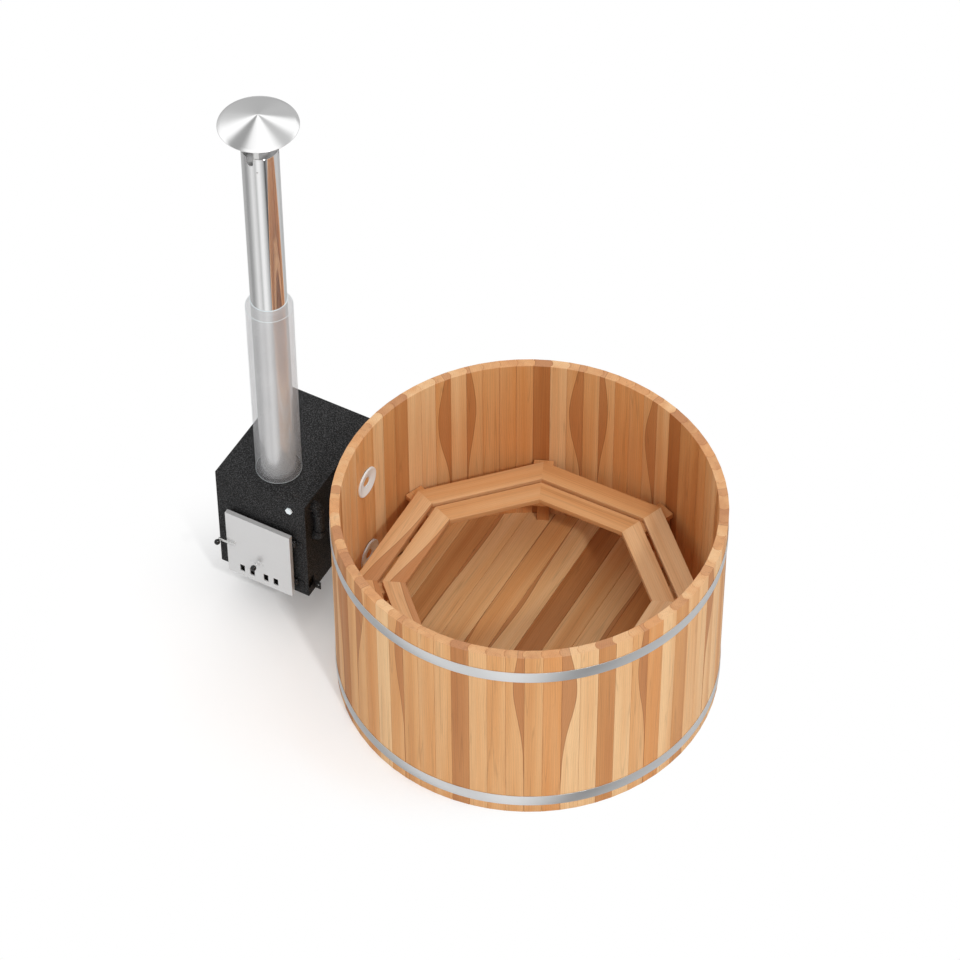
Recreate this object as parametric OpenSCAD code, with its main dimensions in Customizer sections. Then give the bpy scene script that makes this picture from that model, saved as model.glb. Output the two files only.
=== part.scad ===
// Round wooden hot tub with a wood-fired stove beside it, drawn in millimetres.
// The origin is the middle of the tub's foot on the ground. +Z is up, the stove stands on the -X side
// with its door facing -Y, and the two water pipes between stove and tub run along X.

/* [Tub] */
// Outside diameter of the stave wall, over the stave corners
tub_d = 1700; // [1500:10:1900]
// Height of the staves
tub_h = 1040; // [960:10:1150]
// Thickness of a stave
stave_t = 42; // [36:1:48]
// Number of staves, a multiple of four
stave_count = 68; // [60:4:76]
// Turn of the first stave joint away from +X, degrees
stave_phase = 0.5; // [0:0.1:2]
// Gap between neighbouring staves
stave_gap = 0.4; // [0.2:0.1:1]
// Reach of a stave's rounded bead into the cove of its neighbour
bead_depth = 9; // [4:1:10]
// Flat shoulder on either side of the bead
bead_shoulder = 3; // [2:1:8]

/* [Floor] */
// Height of the floor boards' underside, which is also the joists' height
floor_z = 34; // [34:1:45]
// Thickness of the floor boards
floor_t = 34; // [28:1:40]
// Width of a floor board with its joint gap
floor_pitch = 109; // [104:1:116]
// Depth of the groove that holds the floor
groove_depth = 10; // [6:1:14]

/* [Hoops] */
// Height of a hoop band
hoop_w = 60; // [45:1:62]
// Thickness of a hoop band
hoop_t = 2; // [1.5:0.5:3]
// Height of the lower hoop's lower edge
hoop_low_z = 50; // [48:1:60]
// Height of the upper hoop's lower edge
hoop_high_z = 884; // [820:1:900]

/* [Bench] */
// Height of the bench top
bench_z = 465; // [430:5:500]
// Flat-to-centre distance of the bench's outer edge
bench_out = 708; // [690:1:715]
// Width of a bench board
bench_w = 95; // [85:1:100]
// Gap between the two rings of boards
bench_gap = 20; // [12:1:30]
// Thickness of bench boards and arms
bench_t = 28; // [22:1:32]
// Turn of the bench away from the stove's axis, degrees
bench_turn = 0.7; // [0:0.1:2]

/* [Water pipes] */
// Height of the upper water pipe
port_high_z = 750; // [740:1:755]
// Height of the lower water pipe
port_low_z = 270; // [262:1:285]
// Outside radius of the water pipes
port_r = 25; // [22:0.5:25]
// Radius of the dished wall flange
flange_r = 73; // [65:1:76]

/* [Stove] */
// Width of the stove along X
stove_w = 452; // [446:1:456]
// Depth of the stove along Y
stove_d = 599; // [590:1:602]
// Height of the stove's shell
stove_h = 587; // [585:1:595]
// Height of the shell's lower edge above the ground
stove_z = 204; // [200:1:206]
// Middle of the stove on X
stove_x = -1172; // [-1175:1:-1169]
// Thickness of the shell's sheet
sheet_t = 3; // [2:0.5:4]

/* [Door] */
// Width of the fire door
door_w = 328; // [322:1:330]
// Height of the fire door
door_h = 386; // [380:1:390]
// Depth of the door's folded pan
door_t = 22; // [20:1:22]
// Distance from the shell's front to the door's front
door_proud = 40; // [40:1:42]
// Travel of the air slide
slide_travel = 26; // [24:1:28]

/* [Flue] */
// Outside diameter of the flue pipe
flue_d = 156; // [150:1:158]
// Height of the flue pipe's top edge
flue_top_z = 2706; // [2500:1:2900]
// Place of the flue's middle on X
flue_x = -1168; // [-1172:1:-1164]
// Place of the flue's middle on Y
flue_y = -135; // [-140:1:-130]
// Outside diameter of the see-through guard
guard_d = 204; // [200:1:210]
// Height of the guard's upper edge
guard_top_z = 1796; // [1500:1:1850]
// Diameter of the rain cap
cap_d = 334; // [300:1:350]
// Height of the rain cap's rim
cap_z = 2830; // [2800:1:2840]
// Height of the cap's point above its rim
cap_rise = 55; // [40:1:70]

/* [Hidden] */
$fn = 96;
eps = 0.01;
thin_gap = 0.3;

// Colours of the real materials
wood_stave = "#c98f5c";
wood_floor = "#a8703f";
wood_bench = "#cf9663";
steel = "#b9bcc0";
bright = "#d4d5d8";
black_coat = "#2e2e30";
iron = "#3a3735";
rubber = "#1c1c1d";
pale_fitting = "#dcdcd6";
galvanised = "#8d9194";

// Stave wall
tub_r = tub_d / 2;
tub_in_r = tub_r - stave_t;
stave_step = 360 / stave_count;
half_step = stave_step / 2;
quarter_count = stave_count / 4;
half_quarter = ceil(quarter_count / 2);
groove_r = tub_in_r + groove_depth;
bead_mid_r = tub_r - stave_t / 2;
bead_half = stave_t / 2 - bead_shoulder;
bead_arc_r = (bead_half * bead_half + bead_depth * bead_depth) / (2 * bead_depth);
bead_sweep = asin(bead_half / bead_arc_r);
bead_steps = 4;

// Water fittings in the wall, along X at y = 0
seat_in_x = -tub_in_r;
seat_out_x = -tub_r + 2;
seat_r = flange_r + 3;
port_bore_r = port_r - 4;
flange_t = 8;
gasket_t = 3;
nut_t = 16;
nut_r = 42;
tail_x = -904;
hose_in_x = -874;
hose_out_x = -938;
hose_t = 6;
clamp_w = 12;
clamp_t = 1;
clamp_x = [-884, -928];

// Floor drain, under the bench on the stove's side
drain_x = -720;
drain_y = 200;
drain_z = 17;
drain_r = 14;
drain_bore_r = 11;
valve_x0 = -842;
valve_x1 = -985;
ball_x = -915;
ball_r = 15;

// Bench support
arm_w = 90;
arm_in_r = 548;
brace_in_r = 574;
arm_out_r = 801;
leg_depth = 36;
leg_w = 54;
leg_in_r = 765;
arm_top_z = bench_z - bench_t;
arm_low_z = arm_top_z - bench_t;
floor_top_z = floor_z + floor_t;
octagon = [for (k = [0:7]) k * 45 + bench_turn];

// Stove shell and jacket
shell_x0 = stove_x - stove_w / 2;
shell_x1 = stove_x + stove_w / 2;
shell_y0 = -294;
shell_y1 = shell_y0 + stove_d;
shell_top_z = stove_z + stove_h;
jacket_wall = 4;
jacket_x0 = shell_x0 + 14;
jacket_x1 = shell_x1 - 14;
jacket_y0 = shell_y0 + 22;
jacket_y1 = shell_y1 - 14;
jacket_z0 = stove_z + sheet_t;
jacket_z1 = shell_top_z - 11;
water_gap = 32;
water_top = 78;
fire_x0 = jacket_x0 + water_gap + 2 * jacket_wall;
fire_x1 = jacket_x1 - water_gap - 2 * jacket_wall;
fire_y0 = jacket_y0 + jacket_wall;
fire_y1 = jacket_y1 - water_gap - 2 * jacket_wall;
fire_z0 = jacket_z0 + 20;
fire_z1 = jacket_z1 - water_top - 2 * jacket_wall;
stub_end_x = -912;
throat_w = 216;
throat_z0 = 226;
throat_h = 326;
plug_x = -1024;
plug_z = 735;
spigot_r = flue_d / 2 - 1.8;

// Fire door, closed against the throat
door_y0 = shell_y0 - door_proud;
door_y1 = door_y0 + door_t;
door_x0 = stove_x - door_w / 2;
door_x1 = stove_x + door_w / 2;
door_z0 = stove_z + 5;
door_z1 = door_z0 + door_h;
throat_y = door_y1 + 3;
hole_w = 24;
hole_h = 42;
hole_z = 260;
hole_x = [for (offset = [-91, -40, 30, 81]) stove_x + offset];
hinge_x = door_x1 + 9;
hinge_y = shell_y0 - 12;
hinge_r = 8;
pin_r = 4;
knuckle_h = 16;
hinge_z = [262, 520];
latch_x = -1297;
latch_z = 412;
latch_y = -344;
latch_len = 75;
ball_knob_r = 13.5;
slide_y = door_y0 + sheet_t + thin_gap;
slide_t = 2;
slide_half = 30;
stem_x = stove_x - slide_travel / 2;
stem_z = 333;

// Side riser on the shell's tub-facing wall
riser_x = shell_x1 + 28;
riser_y = -222;
riser_r = 23;
riser_bore_r = 19;
elbow_r = 25;
riser_bend = 28;
riser_socket = 12;
socket_gap = 0.3;
riser_high_z = 738;
riser_low_z = 556;

// Stand, kept inside the stove's outline
stand_x = [-1365, -1080];
stand_y = [-95, 275];
stand_tube = 30;
foot_h = 12;

// Flue
flue_r = flue_d / 2;
flue_wall = 1;
flue_joint_z = 1836;
swage_len = 46;
guard_r = guard_d / 2;
guard_collar_h = 45;
cap_angles = [-91, 29, 149];
slot_w = 34;
slot_depth = 41;

// A bar of square section between two corners given as low and high points
module block(low, high) {
    translate(low) cube(high - low);
}

// A round bar or hole that starts at a point and runs along +X, +Y or +Z
module rod_x(start, r, length) {
    translate(start) rotate([0, 90, 0]) cylinder(r = r, h = length);
}

module rod_y(start, r, length) {
    translate(start) rotate([-90, 0, 0]) cylinder(r = r, h = length);
}

module rod_z(start, r, length) {
    translate(start) cylinder(r = r, h = length);
}

// Joint line between two staves from the inside out: distance from the tub's middle, and how far
// the bead swells there
seam_line = concat(
    [[tub_in_r, 0]],
    [for (i = [-bead_steps:bead_steps])
        [bead_mid_r + bead_arc_r * sin(bead_sweep * i / bead_steps),
         bead_arc_r * cos(bead_sweep * i / bead_steps) - bead_arc_r + bead_depth]],
    [[tub_r, 0]]);

// A point at a distance r from the middle and t beside the joint that lies turned by an angle
function beside_joint(r, t, angle) = [r * cos(angle) - t * sin(angle), r * sin(angle) + t * cos(angle)];

// One stave, its outside face square to +X: a wedge with a bead along its clockwise edge and a cove
// along the other, and the floor groove cut across its foot
module stave() {
    bead_side = [for (p = seam_line) beside_joint(p[0], stave_gap / 2 - p[1], -half_step)];
    cove_side = [for (p = seam_line) beside_joint(p[0], -stave_gap / 2 - p[1], half_step)];
    last = len(seam_line) - 1;
    in_x = tub_in_r * cos(half_step);
    difference() {
        linear_extrude(tub_h)
            polygon(concat(bead_side, [for (i = [last:-1:0]) cove_side[i]]));
        block([in_x - 1, -tub_d / stave_count * 2, floor_z - thin_gap],
              [in_x + groove_depth, tub_d / stave_count * 2, floor_top_z + thin_gap]);
    }
}

// Holes through the wall: two water pipes with their flat seats, and the drain pipe's notch
module wall_cuts() {
    for (z = [port_low_z, port_high_z]) {
        rod_x([-tub_r - 10, 0, z], port_r + 1, stave_t + 30);
        rod_x([seat_in_x, 0, z], seat_r, 30);
        rod_x([-tub_r - 10, 0, z], nut_r + 3, 12);
    }
    rod_x([-tub_r - 10, drain_y, drain_z], drain_r + 1, stave_t + 60);
}

// A quarter of the wall: neighbouring staves, turned by whole quarters from the +X one
module stave_quarter(turn) {
    first = turn * quarter_count - half_quarter;
    color(wood_stave) difference() {
        for (k = [0:quarter_count - 1])
            rotate(stave_phase + (first + k + 0.5) * stave_step) stave();
        wall_cuts();
    }
}

module staves_front() {
    stave_quarter(-1);
}

module staves_right() {
    stave_quarter(0);
}

module staves_back() {
    stave_quarter(1);
}

module staves_left() {
    stave_quarter(2);
}

// A split band round the wall, its two ends bent out at the back as lugs for a bolt
lug_gap = 26;
lug_t = 5;
lug_reach = 40;
hoop_r = tub_r + 0.2;

module hoop(z) {
    color(steel) translate([0, 0, z]) difference() {
        union() {
            difference() {
                cylinder(r = hoop_r + hoop_t, h = hoop_w, $fn = 360);
                translate([0, 0, -1]) cylinder(r = hoop_r, h = hoop_w + 2, $fn = 360);
                block([-lug_gap / 2, 0, -1], [lug_gap / 2, tub_r + 50, hoop_w + 1]);
            }
            for (side = [-1, 1])
                translate([side * (lug_gap + lug_t) / 2, 0, 0])
                    block([-lug_t / 2, hoop_r + 0.1, 0], [lug_t / 2, hoop_r + lug_reach, hoop_w]);
        }
        rod_x([-40, hoop_r + 24, hoop_w / 2], 6.4, 80);
    }
}

module upper_hoop() {
    hoop(hoop_high_z);
}

module lower_hoop() {
    hoop(hoop_low_z);
}

lug_out_x = lug_gap / 2 + lug_t;

module hoop_bolts() {
    color(galvanised) for (z = [hoop_low_z, hoop_high_z])
        translate([0, hoop_r + 24, z + hoop_w / 2]) {
            rod_x([-lug_out_x - 0.5, 0, 0], 6, 2 * lug_out_x + 22);
            translate([-lug_out_x - 8.5, 0, 0]) rotate([0, 90, 0]) cylinder(r = 10.4, h = 8, $fn = 6);
        }
}

module hoop_nuts() {
    color(galvanised) for (z = [hoop_low_z, hoop_high_z])
        translate([lug_out_x + 0.2, hoop_r + 24, z + hoop_w / 2]) rotate([0, 90, 0])
            difference() {
                union() {
                    cylinder(r = 12, h = 2.5);
                    translate([0, 0, 2.5]) cylinder(r = 10.4, h = 10, $fn = 6);
                }
                translate([0, 0, -1]) cylinder(r = 6.05, h = 20);
            }
}

// Floor boards along Y, trimmed round to stand in the groove
module floor_boards() {
    half_count = floor(groove_r / floor_pitch + 0.5);
    color(wood_floor) difference() {
        intersection() {
            for (k = [-half_count:half_count])
                translate([k * floor_pitch, 0, floor_z + floor_t / 2])
                    cube([floor_pitch - 0.5, tub_d, floor_t], center = true);
            cylinder(r = groove_r - 1.5, h = tub_h, $fn = 360);
        }
        rod_z([drain_x, drain_y, 0], 31, 200);
        rod_z([drain_x, drain_y, floor_top_z - 5], 46, 20);
    }
}

// Joists across the floor boards
joist_w = 60;
joist_y = [-620, -330, 0, 330, 620];

module floor_joists() {
    color(wood_floor) intersection() {
        for (y = joist_y)
            translate([0, y, floor_z / 2 - 0.1]) cube([tub_d, joist_w, floor_z - 0.2], center = true);
        cylinder(r = tub_in_r - 4, h = floor_z - 0.2, $fn = 360);
    }
}

// One ring of eight mitred boards, given by its inner flat-to-centre distance
module bench_ring(inner) {
    outer = inner + bench_w;
    slope = tan(22.5);
    for (angle = octagon)
        rotate(angle) translate([0, 0, arm_top_z + 0.1]) linear_extrude(bench_t - 0.1)
            polygon([[inner, 0.4 - inner * slope], [outer, 0.4 - outer * slope],
                     [outer, outer * slope - 0.4], [inner, inner * slope - 0.4]]);
}

module outer_bench_boards() {
    color(wood_bench) bench_ring(bench_out - bench_w);
}

module inner_bench_boards() {
    color(wood_bench) bench_ring(bench_out - 2 * bench_w - bench_gap);
}

// Arms, legs and braces stand under the mitres
module at_mitres() {
    for (angle = octagon)
        rotate(angle + 22.5) children();
}

module bench_arms() {
    color(wood_bench) at_mitres()
        block([arm_in_r, -arm_w / 2, arm_low_z], [arm_out_r, arm_w / 2, arm_top_z]);
}

module bench_legs() {
    color(wood_bench) at_mitres()
        block([leg_in_r, -leg_w / 2, floor_top_z + 0.1],
              [leg_in_r + leg_depth, leg_w / 2, arm_low_z - 0.1]);
}

module bench_braces() {
    brace_low = 160;
    brace_rise = 70;
    color(wood_bench) at_mitres()
        translate([0, bench_t / 2, 0]) rotate([90, 0, 0]) linear_extrude(bench_t)
            polygon([[leg_in_r - 0.1, brace_low], [leg_in_r - 0.1, brace_low + brace_rise],
                     [brace_in_r + 60, arm_low_z - 0.1], [brace_in_r, arm_low_z - 0.1]]);
}

module bench_screws() {
    color(steel) at_mitres()
        for (r = [bench_out - bench_w / 2, arm_in_r + 20], side = [-1, 1]) {
            rod_z([r, side * 24, arm_low_z - 3], 6, 3);
            rod_z([r, side * 24, arm_low_z - eps], 2.5, 46);
        }
}

// Dished wall flanges with their through pipes
module wall_flanges() {
    face_x = seat_in_x + gasket_t + flange_t;
    color(pale_fitting) for (z = [port_low_z, port_high_z])
        translate([face_x, 0, z]) rotate([0, -90, 0]) rotate_extrude()
            polygon([[port_bore_r, 14], [port_bore_r + 3, 7.5], [44, 5], [56, 2.5], [62, 0.4], [68, 0],
                     [72, 1], [flange_r, 3], [flange_r, flange_t], [port_r, flange_t],
                     [port_r, face_x - tail_x], [port_bore_r, face_x - tail_x]]);
}

module ring_x(x, z, r_in, r_out, length) {
    translate([x, 0, z]) rotate([0, 90, 0]) difference() {
        cylinder(r = r_out, h = length);
        translate([0, 0, -1]) cylinder(r = r_in, h = length + 2);
    }
}

module port_gaskets() {
    color(rubber) for (z = [port_low_z, port_high_z])
        ring_x(seat_in_x, z, port_r + 0.2, flange_r - 1, gasket_t);
}

// Outside ring nuts with six grip notches
module port_nuts() {
    color(pale_fitting) for (z = [port_low_z, port_high_z])
        difference() {
            ring_x(seat_out_x - nut_t, z, port_r + 0.2, nut_r, nut_t);
            for (k = [0:5])
                translate([0, 0, z]) rotate([k * 60, 0, 0])
                    rod_x([seat_out_x - nut_t - 1, nut_r + 2, 0], 6, nut_t - 4);
        }
}

module hose(z) {
    color(rubber) ring_x(hose_out_x, z, port_r + 0.2, port_r + hose_t, hose_in_x - hose_out_x);
}

module upper_hose() {
    hose(port_high_z);
}

module lower_hose() {
    hose(port_low_z);
}

// Worm-drive clamps: a band with its screw housing and screw on top
module hose_clamps() {
    band_r = port_r + hose_t + 0.1;
    color(steel) for (z = [port_low_z, port_high_z], x = clamp_x) {
        ring_x(x - clamp_w / 2, z, band_r, band_r + clamp_t, clamp_w);
        translate([x, 0, z]) rotate([45, 0, 0]) {
            block([-clamp_w / 2, -9, band_r + clamp_t / 2], [clamp_w / 2, 9, band_r + 8]);
            rod_y([0, -13, band_r + 5], 4, 26);
        }
    }
}

// Floor drain: strainer in the boards, pipe along -X below them, valve outside the wall
module drain_strainer() {
    color(steel) difference() {
        union() {
            rod_z([drain_x, drain_y, floor_top_z - 4.8], 45, 5.8);
            rod_z([drain_x, drain_y, floor_z + 4.2], 30, floor_t - 8);
        }
        rod_z([drain_x, drain_y, floor_z], 26, floor_t - 3);
        for (k = [0:5])
            rotate_about([drain_x, drain_y], k * 60)
                rod_z([drain_x + 16, drain_y, floor_z], 4.5, 60);
        rod_z([drain_x, drain_y, floor_z], 5, 60);
    }
}

module rotate_about(point, angle) {
    translate([point.x, point.y, 0]) rotate(angle) translate([-point.x, -point.y, 0]) children();
}

module drain_pipe() {
    color(steel) difference() {
        union() {
            rod_z([drain_x, drain_y, 3], 29, floor_z);
            rod_x([valve_x0 - 20, drain_y, drain_z], drain_r, drain_x - valve_x0 + 20);
        }
        rod_z([drain_x, drain_y, 7], 25, floor_z);
        rod_x([valve_x0 - 21, drain_y, drain_z], drain_bore_r, drain_x - valve_x0 + 22);
    }
}

// Valve body round the ball, threaded mouth at its far end, neck for the ball's stem on top
module drain_valve() {
    color(steel) difference() {
        union() {
            rod_x([valve_x0 - 45, drain_y, drain_z], drain_r + 2.9, 44);
            translate([ball_x, drain_y, drain_z]) sphere(r = ball_r + 1.9);
            rod_x([ball_x - 30, drain_y, drain_z], drain_r + 0.5, 60);
            rod_x([valve_x1, drain_y, drain_z], drain_r + 2.9, 42);
            rod_z([ball_x, drain_y, drain_z], 8, 26);
        }
        rod_x([valve_x0 - 20.2, drain_y, drain_z], drain_r + 0.05, 30);
        rod_x([ball_x - 40, drain_y, drain_z], drain_bore_r, 80);
        rod_x([valve_x1 - 1, drain_y, drain_z], drain_r - 1, 19);
        translate([ball_x, drain_y, drain_z]) sphere(r = ball_r + 0.05);
        rod_z([ball_x, drain_y, drain_z], 4.05, 40);
    }
}

module drain_ball() {
    color(bright) difference() {
        union() {
            translate([ball_x, drain_y, drain_z]) sphere(r = ball_r);
            rod_z([ball_x, drain_y, drain_z + ball_r - 2], 4, 26);
        }
        rod_y([ball_x, drain_y - 20, drain_z], drain_bore_r, 40);
    }
}

// Lever across the pipe when the valve is shut
module drain_lever() {
    lever_z = drain_z + 26.5;
    color("#2f5f9e") difference() {
        union() {
            rod_z([ball_x, drain_y, lever_z], 9, 8);
            block([ball_x - 8, drain_y, lever_z + 2], [ball_x + 8, drain_y + 78, lever_z + 5]);
            rod_z([ball_x, drain_y + 78, lever_z + 2], 8, 3);
        }
        rod_z([ball_x, drain_y, lever_z - 1], 4, 20);
    }
}

// Stove shell: a folded sheet box, open below, with cut-outs for door, pipes, plug and flue
module stove_shell() {
    lug_reach = 27;
    color(black_coat) difference() {
        union() {
            block([shell_x0, shell_y0, stove_z], [shell_x1, shell_y1, shell_top_z]);
            for (y = [-235, 235])
                block([shell_x1 - 1, y - 1.5, stove_z], [shell_x1 + lug_reach, y + 1.5, stove_z + 45]);
        }
        block([shell_x0 + sheet_t, shell_y0 + sheet_t, stove_z - 1],
              [shell_x1 - sheet_t, shell_y1 - sheet_t, shell_top_z - sheet_t]);
        block([stove_x - throat_w / 2 - 6, shell_y0 - 1, throat_z0 - 6],
              [stove_x + throat_w / 2 + 6, shell_y0 + 10, throat_z0 + throat_h + 6]);
        rod_y([plug_x, shell_y0 - 1, plug_z], 13, 10);
        for (z = [port_low_z, port_high_z])
            rod_x([shell_x1 - 10, 0, z], port_r + 4, 20);
        for (z = [riser_low_z, riser_high_z])
            rod_x([shell_x1 - 10, riser_y, z], riser_r + 1, 20);
        block([shell_x1 - 10, shell_y0 + 6, stove_z + 46], [shell_x1 + 1, shell_y0 + 48, stove_z + 100]);
        rod_z([flue_x, flue_y, shell_top_z - 10], flue_r + 4, 20);
        for (y = [-235, 235])
            rod_y([shell_x1 + 15, y - 10, stove_z + 22], 4.5, 20);
    }
}

module shell_base() {
    color(black_coat) block([shell_x0 + sheet_t + 0.2, shell_y0 + sheet_t + 0.2, stove_z],
                            [shell_x1 - sheet_t - 0.2, shell_y1 - sheet_t - 0.2, jacket_z0]);
}

// Dome-headed screws along the lower edge of the shell's back and left sides
module shell_screws() {
    color(black_coat) {
        for (x = [-160, 0, 160])
            translate([stove_x + x, shell_y1, stove_z + 20]) screw_head([-90, 0, 0]);
        for (y = [-220, 0, 220])
            translate([shell_x0, y, stove_z + 20]) screw_head([0, -90, 0]);
    }
}

module screw_head(turn) {
    rotate(turn) difference() {
        low_dome(6, 3);
        translate([0, 0, 1.6]) cylinder(r = 1.8, h = 3, $fn = 6);
    }
}

// A low dome of radius r and height h standing on the XY plane
module low_dome(r, h) {
    cap_r = (r * r + h * h) / (2 * h);
    intersection() {
        translate([0, 0, h - cap_r]) sphere(r = cap_r);
        cylinder(r = r, h = h + 1);
    }
}

// Water jacket: two boxes one inside the other with the water between, the firebox in the middle,
// the throat in front, a stub pipe for each hose on the tub's side and the flue spigot on top
module water_jacket() {
    mid_x = jacket_x1 - 2;
    color(iron) difference() {
        union() {
            block([jacket_x0, jacket_y0, jacket_z0], [jacket_x1, jacket_y1, jacket_z1]);
            block([stove_x - throat_w / 2, throat_y, throat_z0],
                  [stove_x + throat_w / 2, jacket_y0 + 1, throat_z0 + throat_h]);
            for (z = [port_low_z, port_high_z])
                rod_x([mid_x, 0, z], port_r, stub_end_x - mid_x);
            rod_z([flue_x, flue_y, jacket_z1 - 2], spigot_r, 52);
        }
        difference() {
            block([jacket_x0 + jacket_wall, jacket_y0 + 2 * jacket_wall, jacket_z0 + jacket_wall],
                  [jacket_x1 - jacket_wall, jacket_y1 - jacket_wall, jacket_z1 - jacket_wall]);
            block([fire_x0 - jacket_wall, jacket_y0, fire_z0 - jacket_wall],
                  [fire_x1 + jacket_wall, fire_y1 + jacket_wall, fire_z1 + jacket_wall]);
            rod_z([flue_x, flue_y, fire_z1], spigot_r, 100);
        }
        block([fire_x0, fire_y0, fire_z0], [fire_x1, fire_y1, fire_z1]);
        block([stove_x - throat_w / 2 + jacket_wall, throat_y - 1, throat_z0 + jacket_wall],
              [stove_x + throat_w / 2 - jacket_wall, fire_y0 + 2, throat_z0 + throat_h - jacket_wall]);
        for (z = [port_low_z, port_high_z])
            rod_x([jacket_x1 - 10, 0, z], port_bore_r, 80);
        rod_z([flue_x, flue_y, fire_z1 - 10], spigot_r - 3, 200);
        rod_y([plug_x, jacket_y0 - 10, plug_z], 8.1, 30);
    }
}

// Plate that sends the smoke to the back of the firebox before it turns to the flue
module smoke_baffle() {
    baffle_z = fire_z1 - 70;
    color(iron) {
        block([fire_x0 + 0.3, fire_y0 + 0.3, baffle_z], [fire_x1 - 0.3, fire_y1 - 110, baffle_z + 6]);
        for (x = [fire_x0 + 0.3, fire_x1 - 10.3], y = [fire_y0 + 20, fire_y1 - 160])
            block([x, y, baffle_z - 22], [x + 10, y + 30, baffle_z - 0.1]);
    }
}

// Cast grate: a frame with bars, on four feet that stand on the firebox floor
module fire_grate() {
    grate_z = fire_z0 + 52;
    bar_t = 16;
    color(iron) difference() {
        union() {
            block([fire_x0 + 14, fire_y0 + 30, grate_z], [fire_x1 - 14, fire_y1 - 60, grate_z + bar_t]);
            for (x = [fire_x0 + 18, fire_x1 - 42], y = [fire_y0 + 34, fire_y1 - 88])
                block([x, y, fire_z0 + 0.1], [x + 24, y + 24, grate_z + 1]);
        }
        for (k = [-5:5])
            block([stove_x + k * 24 - 6, fire_y0 + 60, grate_z - 1],
                  [stove_x + k * 24 + 6, fire_y1 - 90, grate_z + bar_t + 1]);
    }
}

// Bright hexagonal plug in the jacket's front
module jacket_plug() {
    color(bright) {
        translate([plug_x, shell_y0 - 9, plug_z]) rotate([-90, 0, 0]) cylinder(r = 17, h = 8.8, $fn = 6);
        rod_y([plug_x, shell_y0 - 1, plug_z], 8, 36);
    }
}

// Upright pipe beside the shell, with an elbow fitting into the shell at each end
module side_riser() {
    foot = riser_low_z + riser_bend + socket_gap;
    top = riser_high_z - riser_bend - socket_gap;
    color(black_coat) difference() {
        rod_z([riser_x, riser_y, foot], riser_r, top - foot);
        rod_z([riser_x, riser_y, foot - 1], riser_bore_r, top - foot + 2);
    }
}

// An elbow round the origin's bend, one end up at +riser_bend on X, the other level at the top
module elbow_arc(r) {
    rotate([90, 0, 0]) rotate_extrude(angle = 90) translate([riser_bend, 0]) circle(r = r);
}

module riser_elbow() {
    difference() {
        union() {
            elbow_arc(elbow_r);
            rod_z([riser_bend, 0, -riser_socket - 4], elbow_r + 3, riser_socket + 6);
            rod_x([-10, 0, riser_bend], riser_r, 12);
            rod_x([0.3, 0, riser_bend], elbow_r + 3, 5);
        }
        elbow_arc(riser_bore_r);
        rod_z([riser_bend, 0, -riser_socket - 5], riser_r + 0.1, riser_socket + 5);
        rod_x([-11, 0, riser_bend], riser_bore_r + 0.5, 12);
    }
}

module riser_elbows() {
    color(black_coat) {
        translate([shell_x1, riser_y, riser_high_z - riser_bend]) riser_elbow();
        translate([shell_x1, riser_y, riser_low_z + riser_bend]) mirror([0, 0, 1]) riser_elbow();
    }
}

// Stand: four square rails on four square legs with round feet
rail_z = stove_z - stand_tube - 0.1;

module stand_frame() {
    color(black_coat) {
        for (x = stand_x)
            block([x - stand_tube / 2, stand_y[0] - stand_tube / 2, rail_z],
                  [x + stand_tube / 2, stand_y[1] + stand_tube / 2, rail_z + stand_tube]);
        for (y = stand_y)
            block([stand_x[0] + stand_tube / 2 + 0.1, y - stand_tube / 2, rail_z],
                  [stand_x[1] - stand_tube / 2 - 0.1, y + stand_tube / 2, rail_z + stand_tube]);
    }
}

module stand_legs() {
    color(black_coat) for (x = stand_x, y = stand_y)
        block([x - stand_tube / 2, y - stand_tube / 2, foot_h + 0.1],
              [x + stand_tube / 2, y + stand_tube / 2, rail_z - 0.1]);
}

module stand_feet() {
    color(rubber) for (x = stand_x, y = stand_y)
        rod_z([x, y, 0], 24, foot_h);
}

// Hook on the shell that the latch tongue drops into
module latch_keeper() {
    keeper_x0 = latch_x - 54;
    keeper_x1 = latch_x - 34;
    lip_y = door_y1 + 1;
    color(black_coat) difference() {
        block([keeper_x0, lip_y, latch_z - 22], [keeper_x1, shell_y0 - 0.1, latch_z + 12]);
        block([keeper_x0 - 1, lip_y + 3, latch_z - 16], [keeper_x1 + 1, shell_y0 - 3, latch_z + 20]);
    }
}

// Lower knuckle of each hinge, on a leaf screwed to the shell
module hinge_brackets() {
    color(black_coat) for (z = hinge_z)
        difference() {
            union() {
                rod_z([hinge_x, hinge_y, z], hinge_r, knuckle_h);
                block([hinge_x - 3, hinge_y, z], [hinge_x + 3, shell_y0 - 2, z + knuckle_h]);
                block([hinge_x - 3, shell_y0 - 3, z - 12], [hinge_x + 34, shell_y0 - 0.1, z + 28]);
            }
            rod_z([hinge_x, hinge_y, z - 1], pin_r, knuckle_h + 2);
        }
}

module hinge_pins() {
    color(steel) for (z = hinge_z)
        rod_z([hinge_x, hinge_y, z], pin_r, 2 * knuckle_h + 2);
}

// Upper knuckle of each hinge, on an arm behind the door
module door_knuckles() {
    arm_y0 = door_y1 + 0.1;
    color(black_coat) for (z = hinge_z)
        difference() {
            union() {
                rod_z([hinge_x, hinge_y, z + knuckle_h + 0.4], hinge_r, knuckle_h);
                block([door_x1 - 24, arm_y0, z + knuckle_h + 0.4],
                      [hinge_x, arm_y0 + 4, z + 2 * knuckle_h + 0.4]);
            }
            rod_z([hinge_x, hinge_y, z + knuckle_h - 1], pin_r + 0.05, knuckle_h + 3);
        }
}

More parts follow.
